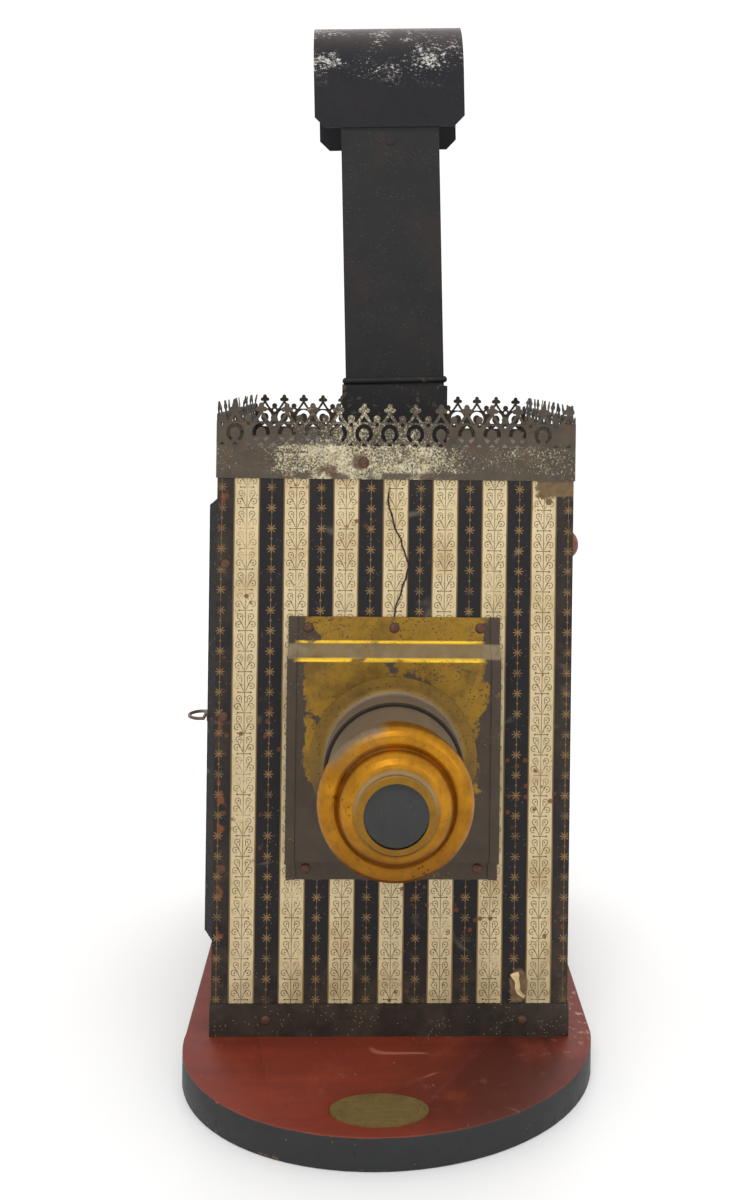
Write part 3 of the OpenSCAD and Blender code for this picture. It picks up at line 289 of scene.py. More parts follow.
def striped_paper(name, sizes, colours, along="x", worn_front=False):
    """Cream stripes with scrolls between black stripes with stars. Lengths below are in millimetres."""
    f = Finish(name)
    across = (f.x if along == "x" else f.y) * 1000
    up = f.z * 1000
    ripple = (f.cloud(30, 2.0) - 0.5) * 0.5
    repeat, half = sizes.repeat * 1000, sizes.stripe * 500
    w = (across + ripple).math("PINGPONG", half)
    b = half - w
    rise = up - sizes.first_bar * 1000 + ripple
    t = rise.math("WRAP", repeat, 0.0)
    level = rise.math("PINGPONG", repeat / 2)

    def spot(cx, cy, radius, x=w, y=t, soft=0.22):
        dx, dy = x - cx, y - cy
        return (dx * dx + dy * dy).math("SQRT").inside(radius, soft)

    def ring(cx, cy, radius, width=0.15):
        dx, dy = w - cx, t - cy
        return abs((dx * dx + dy * dy).math("SQRT") - radius).inside(width, 0.16)

    def band(value, limit, soft=0.16):
        return value.inside(limit, soft)

    # scrolls
    lower = ring(3.15, 2.95, 1.3) * (1 - band(w, 2.5) * band(t, 2.9))
    upper = ring(2.45, 6.65, 1.2) * (1 - band(w, 2.5) * band(t, 6.1))
    slope = ((t - 0.7) * 0.4286 + 0.5).most((t - 4.2) * 0.765 + 2.0)
    leaf = band(abs(w - slope), 0.16) * band(t, 6.0) * (1 - band(t, 0.7))
    stroke = band(abs(w - 1.35), 0.14) * band(t, 6.6) * (1 - band(t, 4.6))
    bar = band(level, 0.17) * band(w, 2.9)
    ink = band(w, 0.15)
    for mask in (lower, upper, leaf, stroke, bar, spot(2.9, 0.0, 0.42, y=level), spot(3.0, 2.8, 0.36),
                 spot(2.2, 6.6, 0.34)):
        ink = ink.most(mask)
    # stars
    radius = (b * b + level * level).math("SQRT")
    ray = abs((level.math("ARCTAN2", b + 0.0001) * 4).math("COSINE")) ** 3.0
    star = radius.inside(0.0, 0.35) + (radius - (0.62 + ray * 1.7)).inside(0.0, 0.3)
    chain = b.inside(0.13, 0.16) * 0.8
    bead = spot(0.0, repeat / 2, 0.5, x=b, y=level, soft=0.3) * 0.8
    gold = star.most(chain).most(bead).clamped()

    cream_share = w.inside(sizes.cream_half * 1000, 0.25)
    border = w.inside(sizes.cream_half * 1000 + 0.55, 0.25) - cream_share

    aged = f.ramp(f.cloud(26, 5.0, 0.6), [(0.25, (0.62, 0.55, 0.42)), (0.5, (0.93, 0.91, 0.86)), (0.75, (1, 1, 1))])
    cream = f.mixed(1.0, colours.cream, aged, "MULTIPLY")
    cream = f.mixed(f.specks(2.2, 0.2, 0.55) * 0.6, cream, rgb(120, 88, 52))
    fibres = f.cloud(1.2, 2.0, stretch=(1, 1, 0.35)).rise(0.35, 0.75)
    cream = f.mixed(fibres * 0.16, cream, rgb(150, 128, 92))
    ink_fade = ink * f.cloud(14, 3.0, shift=(0.3, 0, 0)).rise(0.2, 0.5) * 0.92
    cream = f.mixed(ink_fade, cream, colours.ink)

    black = f.mixed(f.cloud(18, 4.0, 0.6) * 0.8, colours.black, rgb(33, 29, 29))
    gold_fade = gold * f.cloud(9, 3.0, shift=(0, 0.2, 0)).rise(0.22, 0.55) * 0.95
    gold_tone = f.mixed(f.cloud(7, 2.0), colours.gold, rgb(120, 100, 72))
    black = f.mixed(gold_fade, black, gold_tone)
    wear_and_highlight = f.scratches(24, 0.012) * 0.5 + f.specks(1.5, 0.16, 0.46, (0.1, 0, 0.2)) * 0.65
    black = f.mixed(wear_and_highlight.clamped() * 0.8, black, rgb(120, 110, 96))

    colour = f.mixed(cream_share, black, cream)
    colour = f.mixed(border.clamped() * 0.9, colour, rgb(118, 96, 60))

    # dirt towards the foot, the top and the corners
    edge = abs(across).rise(66, 82) * 0.35 + up.rise(62, 24) * 0.45 + up.rise(258, 276) * 0.25
    dirt = (edge * f.cloud(12, 4.0, 0.65).rise(0.3, 0.7) * 1.3).clamped()
    colour = f.mixed(dirt * 0.75, colour, rgb(86, 70, 50))
    rust = f.specks(5.0, 0.22, 0.42, (0.05, 0.4, 0))
    colour = f.mixed(rust * 0.85, colour, rgb(96, 52, 28))
    height = f.cloud(1.6, 3.0) * 0.3 + ink * 0.15 + f.cloud(40, 2.0) * 2.0
    rough = 0.62 + f.cloud(8, 3.0) * 0.2

    if worn_front:
        wander = (f.cloud(5, 3.0, 0.6, stretch=(0.15, 1, 1)) - 0.5) * 2.4
        way = f.add("ShaderNodeValToRGB", {"stops": [
            (p, (v, v, v, 1)) for p, v in ((0.0, 0.62), (0.07, 0.44), (0.2, 0.50), (0.34, 0.66), (0.47, 0.80),
                                           (0.62, 0.62), (0.74, 0.44), (0.88, 0.30), (1.0, 0.34))]},
            {0: (up - 196) / 72})
        middle_line = across - (way * 20 - 9.6) - wander
        open_share = up.inside(266, 6) * (1 - up.inside(201, 6))
        gap = abs(middle_line).inside(0.42, 0.35) * open_share
        lip = abs(middle_line + 0.9).inside(0.9, 0.7) * open_share * f.cloud(4, 2.0).rise(0.35, 0.6)
        colour = f.mixed(lip * 0.55, colour, rgb(150, 128, 98))
        colour = f.mixed(gap, colour, rgb(26, 20, 16))
        height = height - gap * 2.5 + lip * 1.2

        ragged = (f.cloud(4.5, 4.0, 0.65) - 0.5) * 9
        bare = ((across + ragged) - 64).rise(0.0, 1.0) * ((up + ragged * 0.7) - 261.5).rise(0.0, 1.0)
        bare = bare.most(spot(70.5, 260.5, 1.6, x=across + ragged * 0.25, y=up + ragged * 0.2, soft=0.6))
        colour = f.mixed(bare, colour, f.mixed(f.cloud(3, 4.0), rgb(70, 54, 38), rgb(128, 104, 72)))
        torn = spot(59.5, 37.0, 4.2, x=across + ragged * 0.35, y=(up + ragged * 0.35) * 0.55 + 16.6, soft=0.8)
        colour = f.mixed(torn * across.inside(63.5, 0.6), colour, f.mixed(f.cloud(2.5, 3.0), rgb(140, 112, 78), rgb(46, 38, 32)))
        height = height - bare * 1.5 - torn * 1.2
        left_rust = abs(across + 78.5 + ragged * 0.2).inside(1.6, 1.2) * f.cloud(7, 3.0).rise(0.55, 0.68)
        colour = f.mixed(left_rust * 0.8, colour, rgb(120, 66, 38))

    return f.done(colour, rough, 0.0, height, 0.12, Specular_IOR_Level=0.3)


# ---- metals --------------------------------------------------------------------------------

def stage_brass(name, colours, face_top, face_low, axis):
    """Lacquered brass sheet that has worn and spotted down to dark metal."""
    f = Finish(name)
    x, up = f.x * 1000, f.z * 1000
    large = f.cloud(34, 5.0, 0.62, twist=0.6)
    fine = f.cloud(5.5, 5.0, 0.7)
    pits = f.cells(1.7).inside(0.24, 0.12) * f.cloud(11, 3.0, shift=(0.2, 0, 0.1)).rise(0.4, 0.62)
    high = up.rise(axis - 26, face_top - 6)
    side = abs(x).rise(38, 45.5)
    kept = large * 0.95 + fine * 0.62 + high * 0.25 - side * 0.36 - 0.40
    brass_share = kept.rise(0.46, 0.54) * (1 - pits * 0.9)
    stain = f.mixed(f.cloud(14, 4.0), colours.brass, rgb(128, 100, 44))
    stain = f.mixed(f.cloud(4, 4.0, 0.7).rise(0.45, 0.75) * 0.6, stain, rgb(104, 80, 34))
    dark = f.mixed(f.cloud(9, 4.0, 0.65), colours.tin, rgb(78, 64, 50))
    flecks = f.cells(1.3, shift=(0.1, 0, 0)).inside(0.2, 0.1) * f.cloud(16, 3.0).rise(0.5, 0.7)
    dark = f.mixed(flecks, dark, rgb(136, 110, 58))
    colour = f.mixed(brass_share, dark, stain)
    # dust on the sloping face, and along both its bends brass worn bright with a painted highlight line
    slope = up.rise(face_top - 0.2, face_top + 0.9) * up.inside(face_top + 5.6, 0.8)
    dust = slope * f.cloud(8, 4.0).rise(0.1, 0.5) * 0.85
    colour = f.mixed(dust, colour, f.mixed(f.cloud(6, 4.0, 0.6), rgb(112, 96, 70), rgb(150, 134, 102)))
    # painted highlight: bright gold lines on both bends, over partly worn brass
    wear_and_highlight = abs(up - face_top + 0.2).inside(0.8, 0.5).most(abs(up - face_top - 6.3).inside(0.6, 0.5))
    wear_and_highlight = wear_and_highlight * abs(x + 2).inside(42, 4) * f.cloud(7, 4.0, 0.6, stretch=(0.6, 1, 1)).rise(0.32, 0.5)
    colour = f.mixed(wear_and_highlight, colour, rgb(240, 196, 62))
    ring = ((x * x + (up - axis) * (up - axis)).math("SQRT"))
    halo = ring.inside(37.6, 1.6) * (1 - ring.inside(34.5, 1.5))
    colour = f.mixed(halo * 0.45, colour, rgb(116, 84, 38))
    grime = f.cloud(20, 4.0, 0.6, shift=(0.4, 0, 0.2)).rise(0.5, 0.72) * 0.55
    colour = f.mixed(grime * (1 - wear_and_highlight), colour, rgb(66, 52, 38))
    metal = (brass_share * 0.45 + 0.35 - dust * 0.4).most(wear_and_highlight * 0.95)
    rough = (0.52 - brass_share * 0.14 + f.cloud(3, 3.0) * 0.16 + dust * 0.3) * (1 - wear_and_highlight * 0.5)
    height = f.cloud(1.1, 3.0) * 0.3 + brass_share * 0.5 + f.cloud(30, 2.0) * 2.5 - pits * 0.4
    return f.done(colour, rough, metal, height, 0.14)


def gallery_tin(name, band_low, band_high):
    """Bright speckled tin between dull ends, rusty in places."""
    f = Finish(name)
    x, up = f.x * 1000, f.z * 1000
    crystal = f.cells(1.6, "F1", out="Color")
    grain = f.add("ShaderNodeSeparateColor", inputs={0: crystal})
    blot = f.cloud(1.1, 4.0, 0.8)
    pierced = up.rise(band_high - 1.0, band_high + 2.0)
    patch = f.cloud(17, 4.0, 0.6, twist=0.5)
    centre = (x + 14).math("ABSOLUTE").rise(62, 14)
    right = x.rise(18, 40) * 0.6
    bright = (blot * 1.1 + patch * 0.5 + centre * 0.24 + right * 0.10 - pierced * 0.12 - 0.42).rise(0.50, 0.66)
    low_edge = up.inside(band_low + 3.0, 1.0) * f.cloud(9, 3.0).rise(0.35, 0.55)
    bright = bright * (1 - low_edge * 0.9)
    dark = f.mixed(f.cloud(8, 4.0, 0.6), rgb(50, 43, 36), rgb(92, 82, 68))
    shine = f.mixed(f.cloud(3.2, 3.0), rgb(214, 200, 156), rgb(150, 140, 120))
    shine = f.mixed(grain * 0.35, shine, rgb(250, 244, 220))
    colour = f.mixed(bright * 0.92, dark, shine)
    rust = f.cloud(11, 5.0, 0.65, shift=(0.13, 0.2, 0.4)).rise(0.56, 0.68)
    spot = ((x + 17) * (x + 17) + (up - band_low - 8) * (up - band_low - 8)).math("SQRT").inside(3.4, 1.6)
    rust = rust.most(spot) * 0.85
    colour = f.mixed(rust, colour, f.mixed(f.cloud(4, 3.0), rgb(66, 44, 30), rgb(98, 74, 52)))
    edges = f.cloud(2.4, 2.0).rise(0.5, 0.8) * up.rise(band_high, band_high + 1.5) * 0.35
    colour = f.mixed(edges, colour, rgb(60, 52, 46))
    metal = 0.5 + bright * 0.35 - rust * 0.4
    rough = 0.42 + blot * 0.2 + rust * 0.3
    height = blot * 0.6 + f.cloud(24, 2.0) * 3.0
    return f.done(colour, rough, metal, height, 0.16)


def black_japan(name, colours, cowl_low, cowl_top, seat):
    """Stoved black over tin: fine dust on the duct, bare bright scratches on top of the cowl, a painted grey sheen on
    the cowl top and painted shade on its lower part.
    """
    f = Finish(name)
    up = f.z * 1000
    high = up.rise(cowl_top - 26, cowl_top - 3)
    cowl = up.rise(cowl_low - 2, cowl_low)
    base = f.mixed(f.cloud(16, 4.0, 0.6), colours.japan, rgb(36, 36, 37))
    brown = f.cloud(30, 4.0, 0.6, shift=(0, 0, 0.12)).rise(0.48, 0.7) * 0.55
    base = f.mixed(brown, base, rgb(46, 36, 31))
    speck = f.specks(1.5, 0.14, 0.52) * 0.55
    base = f.mixed(speck, base, rgb(104, 90, 76))
    # painted highlight: a grey sheen laid over the top of the cowl
    painted_top_sheen = f.mixed(f.cloud(7, 4.0, 0.6), rgb(70, 64, 64), rgb(108, 98, 96))
    colour = f.mixed(high * 0.8, base, painted_top_sheen)
    # painted shade: the cowl below its top is darkened towards navy black
    painted_lower_shade = cowl * (1 - high)
    colour = f.mixed(painted_lower_shade * 0.6, colour, rgb(14, 14, 22))
    rub = f.cloud(1.2, 5.0, 0.8, stretch=(0.6, 1, 1)) * 0.9 + f.cloud(15, 3.0, shift=(0.2, 0.1, 0)) * 0.6
    belt = up.rise(cowl_low + 20, cowl_low + 34) * up.inside(cowl_top - 4, 6)
    worn = rub.rise(0.83, 0.90) * belt * 0.9
    colour = f.mixed(worn, colour, rgb(196, 192, 186))
    pit = f.cells(2.4).inside(0.16, 0.1) * cowl * 0.8
    colour = f.mixed(pit, colour, rgb(32, 26, 24))
    inner = f.x.rise(0.022, 0.027) * up.rise(cowl_low - 12, cowl_low - 7) * up.inside(cowl_low + 2, 2)
    colour = f.mixed(inner * f.cloud(5, 4.0).rise(0.45, 0.6) * 0.6, colour, rgb(104, 52, 42))
    lower = up.inside(seat + 4, 1.5) * f.cloud(4, 4.0, 0.6).rise(0.6, 0.7) * 0.5
    colour = f.mixed(lower, colour, rgb(104, 90, 74))
    rough = 0.52 - high * 0.1 + f.cloud(5, 3.0) * 0.18
    metal = worn * 0.7 + high * 0.25
    height = f.cloud(1.3, 3.0) * 0.35 + f.cloud(34, 2.0) * 3.0 - worn * 0.4
    return f.done(colour, rough, metal, height, 0.14, Specular_IOR_Level=0.25)


def plain_metal(name, light, dark, size=8.0, rust=0.3, metal=0.55, rough=0.5, specks=0.4, rust_tint=rgb(104, 58, 34),
                brushed=None):
    """Dull sheet or wire with stains, specks and a share of rust."""
    f = Finish(name)
    blot = f.cloud(size, 5.0, 0.62, twist=0.4)
    colour = f.mixed(blot.rise(0.25, 0.75), dark, light)
    if brushed:
        lines = f.cloud(0.8, 2.0, stretch=brushed)
        colour = f.mixed(lines.rise(0.4, 0.8) * 0.3, colour, light)
    spots = f.specks(1.6, 0.18, 0.5) * specks
    colour = f.mixed(spots, colour, rgb(170, 156, 132))
    rusty = (f.cloud(size * 0.8, 5.0, 0.66, shift=(0.3, 0.1, 0.2)) + rust * 0.3).rise(0.62, 0.74)
    colour = f.mixed(rusty * min(1.0, rust + 0.35), colour, f.mixed(f.cloud(2.0, 3.0), rust_tint, dark))
    height = f.cloud(1.2, 3.0) * 0.4 + f.cloud(22, 2.0) * 2.0
    return f.done(colour, rough + f.cloud(4, 3.0) * 0.2 - 0.1, metal - rusty * metal * 0.7, height, 0.12)


def bell_lacquer(name, colours, axis, rim_y):
    """Golden lacquer on turned brass, with painted orange-brown shade on its lower side, and worn grey on one side of
    the rim.
    """
    f = Finish(name)
    x, y, up = f.x * 1000, f.y * 1000, f.z * 1000 - axis
    radius = (x * x + up * up).math("SQRT")
    turn = up.math("ARCTAN2", x)
    streak = f.cloud(9, 4.0, 0.6, stretch=(1, 0.4, 1), twist=0.3)
    # painted shade: the lower side of the bell turns darker orange-brown
    below = up.rise(6, -26)
    colour = f.mixed(below * 0.6, colours.lacquer, rgb(122, 76, 26))
    colour = f.mixed(streak.rise(0.3, 0.75) * 0.6, colour, rgb(116, 76, 24))
    dim = f.cloud(3.0, 5.0, 0.7).rise(0.5, 0.72) * 0.4
    colour = f.mixed(dim, colour, rgb(96, 68, 32))
    # rubbed patch
    sector = abs(turn - 2.15).inside(0.42, 0.16) * radius.rise(22.5, 25)
    ragged = f.cloud(4, 4.0, 0.65).rise(0.3, 0.42)
    patch = sector * ragged * (y - rim_y).rise(-16.5, -13.5)
    colour = f.mixed(patch * 0.9, colour, f.mixed(f.cloud(2.2, 4.0, 0.7), rgb(84, 72, 58), rgb(140, 128, 106)))
    groove = abs(radius - 23.7).inside(0.5, 0.5) * (y - rim_y).inside(-2.0, 1.0)
    colour = f.mixed(groove * 0.4, colour, rgb(120, 86, 46))
    dust = radius.inside(17.6, 0.8) * (1 - radius.inside(15.9, 0.5)) * up.rise(-4, 9) * (y - rim_y).inside(-6.5, 1.0)
    nose = radius.inside(17.8, 0.6) * (y - rim_y).inside(-17.0, 1.0)
    colour = f.mixed(nose * 0.6, colour, rgb(104, 82, 40))
    colour = f.mixed(dust * 0.5, colour, rgb(160, 140, 104))
    brown = f.specks(2.6, 0.2, 0.42, (0.3, 0, 0)) * 0.7
    colour = f.mixed(brown, colour, rgb(66, 40, 18))
    rough = 0.3 + streak * 0.14 + patch * 0.25 + dim * 0.2 + dust * 0.3
    height = f.cloud(0.9, 2.0, stretch=(1, 4, 1)) * 0.25 + f.cloud(14, 2.0) * 1.6
    return f.done(colour, rough, 0.95 - patch * 0.35 - dust * 0.4, height, 0.1)


def tube_brass(name, axis, flange_y, collar_y):
    """Unpolished grey brown brass; the flange round the collar keeps some yellow. Painted shade darkens its lower
    side, and a painted near-black ring stands in the gap at the collar.
    """
    f = Finish(name)
    x, y, up = f.x * 1000, f.y * 1000, f.z * 1000 - axis
    base = f.mixed(f.cloud(11, 4.0, 0.6, stretch=(1, 0.3, 1)), rgb(112, 98, 82), rgb(142, 128, 110))
    base = f.mixed(f.specks(1.4, 0.16, 0.5) * 0.4, base, rgb(98, 80, 62))
    # painted shade: the tube darkens towards its lower side
    base = f.mixed(up.rise(4, -24) * 0.6, base, rgb(80, 62, 42))
    flange = (y - flange_y).rise(-1.2, -0.4)
    yellow = f.mixed(f.cloud(8, 5.0, 0.65), rgb(84, 66, 36), rgb(150, 116, 44))
    yellow = f.mixed(f.cells(1.6).inside(0.2, 0.1) * 0.8, yellow, rgb(60, 46, 32))
    # painted shade: the yellow flange darkens towards its lower side
    yellow = f.mixed(up.rise(6, -20) * 0.7, yellow, rgb(78, 66, 54))
    colour = f.mixed(flange, base, yellow)
    # painted shadow: a near-black ring in the gap between the collar and the tube
    lip = (x * x + up * up).math("SQRT").rise(29.35, 29.55) * abs(y - collar_y).inside(0.5, 0.2)
    colour = f.mixed(lip * 0.9, colour, rgb(26, 19, 13))
    rough = 0.44 + f.cloud(4, 3.0) * 0.2
    return f.done(colour, rough, 0.6, f.cloud(0.8, 2.0, stretch=(1, 5, 1)) * 0.3 + f.cloud(18, 2.0) * 1.2, 0.1)


def old_glass(name, tone, dust=0.5, rough=0.03):
    """Clear glass with a film of dust and a few fine scratches."""
    f = Finish(name)
    film = f.cloud(7, 5.0, 0.7).rise(0.45, 0.75) * dust
    colour = f.mixed(film, tone, f.mixed(0.5, tone, rgb(120, 116, 104)))
    lines = f.scratches(9, 0.02, 0.3)
    colour = f.mixed(lines * 0.5, colour, rgb(190, 186, 170))
    surface = rough + film * 0.22 + lines * 0.4
    return f.done(colour, surface, 0.0, f.cloud(12, 2.0) * 1.0, 0.05, Transmission_Weight=1.0, IOR=1.5)


# ---- board ---------------------------------------------------------------------------------

def board_paint(name, colours, top):
    """Red brown paint on top, black round the edge, scuffed and dusty."""
    f = Finish(name)
    x, y, up = f.x * 1000, f.y * 1000, f.z * 1000
    grain = f.cloud(9, 5.0, 0.6, stretch=(0.12, 1, 1))
    red = f.mixed(grain.rise(0.3, 0.7) * 0.5, colours.board, rgb(94, 34, 21))
    shade = f.cloud(62, 3.0, 0.5, shift=(0.04, 0.1, 0)).rise(0.42, 0.66)
    red = f.mixed((shade * x.rise(-30, 50) * 0.75).clamped(), red, rgb(64, 28, 20))
    red = f.mixed(f.cloud(22, 4.0, 0.6, shift=(0.2, 0, 0)).rise(0.5, 0.75) * 0.4, red, rgb(142, 62, 36))
    dusty = f.cloud(6, 5.0, 0.72).rise(0.58, 0.72) * 0.4
    red = f.mixed(dusty * 0.7, red, rgb(126, 84, 66))
    red = f.mixed(f.specks(2.6, 0.11, 0.40) * 0.7, red, rgb(168, 140, 120))
    red = f.mixed(f.specks(2.2, 0.15, 0.45, (0.2, 0.2, 0)) * 0.8, red, rgb(58, 30, 22))
    red = f.mixed(f.scratches(40, 0.006, 0.5) * 0.5, red, rgb(176, 120, 96))
    chipped = x.rise(56, 84) * y.rise(-110, -60) * f.cloud(5, 4.0, 0.7).rise(0.56, 0.64)
    red = f.mixed(chipped * 0.8, red, rgb(178, 150, 128))
    black = f.mixed(f.cloud(14, 4.0, 0.6), rgb(20, 21, 22), rgb(34, 35, 37))
    black = f.mixed(f.specks(2.0, 0.14, 0.45) * 0.6, black, rgb(128, 116, 104))
    wear_and_highlight = f.cloud(5, 4.0, 0.7, stretch=(0.3, 1, 1)).rise(0.6, 0.68) * (up.inside(1.4, 0.8).most(up.rise(top - 1.6, top - 0.6)))
    black = f.mixed(wear_and_highlight * 0.75, black, rgb(132, 100, 78))
    line = up + (f.cloud(8, 3.0) - 0.5) * 0.8
    on_top = line.rise(top - 0.75, top - 0.35)
    colour = f.mixed(on_top, black, red)
    rough = 0.46 + dusty * 0.5 + f.cloud(5, 3.0) * 0.16
    height = grain * 0.5 + f.cloud(2, 3.0) * 0.35 + f.cloud(40, 2.0) * 2.5
    return f.done(colour, rough, 0.0, height, 0.12, Specular_IOR_Level=0.4)


# ---- cresting ------------------------------------------------------------------------------

def arc(cx, cy, rx, ry, start, end, steps):
    return [(cx + rx * math.cos(math.radians(start + (end - start) * k / steps)),
             cy + ry * math.sin(math.radians(start + (end - start) * k / steps))) for k in range(steps + 1)]


def crest_line(half, height):
    """Upper edge of one repeat from the left knob to the right one, in millimetres."""
    left = arc(-half, height * 0.64, 1.6, 1.6, 88, -42, 4)
    left += [(-half + 2.0, height * 0.55), (-2.9, height * 0.60), (-1.1, height * 0.745), (-0.9, height * 0.77)]
    left += arc(-1.5, height * 0.835, 1.2, 1.15, -60, -250, 5)
    left += arc(0, height * 0.925, 1.2, 1.3, 200, 100, 4)
    return left + [(-px, pz) for px, pz in reversed(left)]


def crest_holes(half, height):
    """Openings of one repeat, centred on its crest, in millimetres."""
    h = height
    holes = [[(-2.1, h * 0.56), (2.1, h * 0.56), (0.9, h * 0.635), (0.0, h * 0.71), (-0.9, h * 0.635)]]
    # a round opening with a tongue that stands up in it
    holes.append(arc(0, h * 0.295, 4.1, h * 0.225, -64, 244, 18) + arc(0, h * 0.285, 2.3, h * 0.135, 244, -64, 14))
    for x in (0.0, half):
        holes.append([(x - 1.5, h * 0.012), (x + 1.5, h * 0.012), (x, h * 0.085)])
    holes.append(arc(half, h * 0.50, 0.95, h * 0.045, 0, 315, 7))
    return holes


def cresting_strip(node, sizes, material, seed, phase):
    """One pierced strip in place of a plain one: its outline is a filled flat curve, then every crest is bent a little."""
    low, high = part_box(node)
    size = high - low
    along = 0 if size.x > size.y else 1
    run = size[along] / MM
    total = size.z / MM
    crest_h = 20.0 / 35.0 * total
    band = total - crest_h
    count = max(2, round(run / (sizes.crest_repeat / MM)))
    pitch = run / count
    top = crest_line(pitch / 2, crest_h)

    curve = bpy.data.curves.new(node + "_outline", "CURVE")
    curve.dimensions = "2D"
    curve.fill_mode = "BOTH"
    curve.extrude = sizes.sheet / 2 * 0.96

    def spline(points):
        line = curve.splines.new("POLY")
        line.points.add(len(points) - 1)
        for point, (px, pz) in zip(line.points, points):
            point.co = (px * MM, pz * MM, 0, 1)
        line.use_cyclic_u = True

    end_z = band + crest_h * 0.56
    outline = [(-run / 2, 0), (run / 2, 0), (run / 2, end_z)]
    centres = [(k - (count - 1) / 2) * pitch + phase for k in range(-1, count + 1)]
    for centre in reversed(centres):
        outline += [(centre + px, band + pz) for px, pz in reversed(top)
                    if abs(centre + px) < run / 2 - 0.05]
    spline(outline + [(-run / 2, end_z)])
    for centre in centres:
        for hole in crest_holes(pitch / 2, crest_h):
            if all(abs(centre + px) < run / 2 - 0.6 for px, _ in hole):
                spline([(centre + px, band + pz) for px, pz in hole])

    flat = bpy.data.objects.new(node + "_flat", curve)
    bpy.context.scene.collection.objects.link(flat)
    bpy.context.view_layer.update()
    bm = bmesh.new()
    bm.from_mesh(flat.evaluated_get(bpy.context.evaluated_depsgraph_get()).to_mesh())
    flat.to_mesh_clear()
    bpy.data.objects.remove(flat)
    bpy.data.curves.remove(curve)
    bmesh.ops.remove_doubles(bm, verts=bm.verts, dist=1e-6)
    # level cuts give the sheet something to bend along
    for level in (0.0, 0.14, 0.28, 0.42, 0.56, 0.70, 0.84):
        bmesh.ops.bisect_plane(bm, geom=bm.verts[:] + bm.edges[:] + bm.faces[:], dist=1e-7,
                               plane_co=(0, (band + crest_h * level) * MM, 0), plane_no=(0, 1, 0))
    for v in bm.verts:
        share = max(0.0, (v.co.y / MM - band) / crest_h)
        index = math.floor((v.co.x / MM - phase) / pitch + count / 2)
        own = noise.noise(Vector((index * 3.7 + 0.5, seed * 5.1, 0.2)))
        smooth = noise.noise(Vector((v.co.x / MM * 0.06, seed * 2.3, 4.0)))
        free = share ** 2
        lean = sizes.crest_bend * (3.4 * own * max(0.0, share - 0.5) * 2 + 2.2 * smooth) * free
        edge = min(1.0, (run / 2 - abs(v.co.x / MM)) / 4.0)
        v.co.z += lean * max(0.0, edge)
        v.co.y -= abs(lean) * 0.12
    bmesh.ops.recalc_face_normals(bm, faces=bm.faces)
    centre = (low + high) / 2
    across = Vector((1, 0, 0)) if along == 0 else Vector((0, 1, 0))
    thick = across.cross(Vector((0, 0, 1)))
    turn = Matrix((across, Vector((0, 0, 1)), thick)).transposed().to_4x4()
    bmesh.ops.transform(bm, matrix=Matrix.Translation((centre.x, centre.y, low.z)) @ turn, verts=bm.verts)
    return piece("cresting_" + node.split("_")[1], bm, material, "lamphouse", [node], 30)


# ---- operators -----------------------------------------------------------------------------

class LANTERN_OT_cresting(bpy.types.Operator):
    """Cut and bend the four pierced strips round the top of the body"""
    bl_idname = "lantern.cresting"
    bl_label = "Cresting"

    def execute(self, context):
        sizes = context.scene.lantern_sizes
        low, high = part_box("gallery_front")
        material = gallery_tin("speckled_tin", low.z * 1000, (low.z + 0.015) * 1000)
        for seed, side in enumerate(("front", "back", "right", "left")):
            cresting_strip("gallery_" + side, sizes, material, seed + 1, sizes.crest_phase / MM if seed == 0 else 0.0)
        dress(plain_metal("rivet_rust", rgb(84, 58, 42), rgb(48, 34, 25), 3.0, 0.7, 0.3, 0.6),
              "gallery_rivets", "stage_rivets", "foot_band_rivets", "edge_rivets")
        return {"FINISHED"}


class LANTERN_OT_paper(bpy.types.Operator):
    """Cover the body and the door with striped paper, and curl up its torn flap"""
    bl_idname = "lantern.paper"
    bl_label = "Paper"

    def execute(self, context):
        sizes, colours = context.scene.lantern_sizes, context.scene.lantern_colours
        dress(striped_paper("paper_front", sizes, colours, "x", True), "front_paper")
        dress(striped_paper("paper_back", sizes, colours, "x"), "back_paper")
        dress(striped_paper("paper_side", sizes, colours, "y"), "right_paper", "left_paper", "door_paper")

        low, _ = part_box("front_paper")
        bm = bmesh.new()
        bmesh.ops.create_grid(bm, x_segments=6, y_segments=14, size=0.5)
        for v in bm.verts:
            s, t = v.co.x, v.co.y + 0.5
            width = 1.5 - 0.9 * t + 0.7 * noise.noise(Vector((t * 5, 1.3, 0)))
            lift = 2.6 * math.sin(t * math.pi) * (0.6 + 0.4 * s) + 0.12
            v.co = Vector(((57.2 + 5.2 * t * t + s * width * 2 + 0.8 * math.sin(t * 6)) * MM,
                           low.y - (lift + 0.5 * abs(s)) * MM,
                           (43.0 - 11.0 * t + 1.2 * s) * MM))
        bmesh.ops.recalc_face_normals(bm, faces=bm.faces)
        bmesh.ops.solidify(bm, geom=bm.faces[:], thickness=0.12 * MM)
        f = Finish("torn_paper")
        tone = f.mixed(f.cloud(2.4, 4.0, 0.6), rgb(226, 204, 160), rgb(178, 146, 98))
        tone = f.mixed(f.specks(1.4, 0.2, 0.5) * 0.6, tone, rgb(92, 66, 40))
        piece("torn_flap", bm, f.done(tone, 0.75 + f.cloud(3) * 0.1, 0.0, f.cloud(1.0, 3.0), 0.1),
              "lamphouse", crease=60)
        return {"FINISHED"}


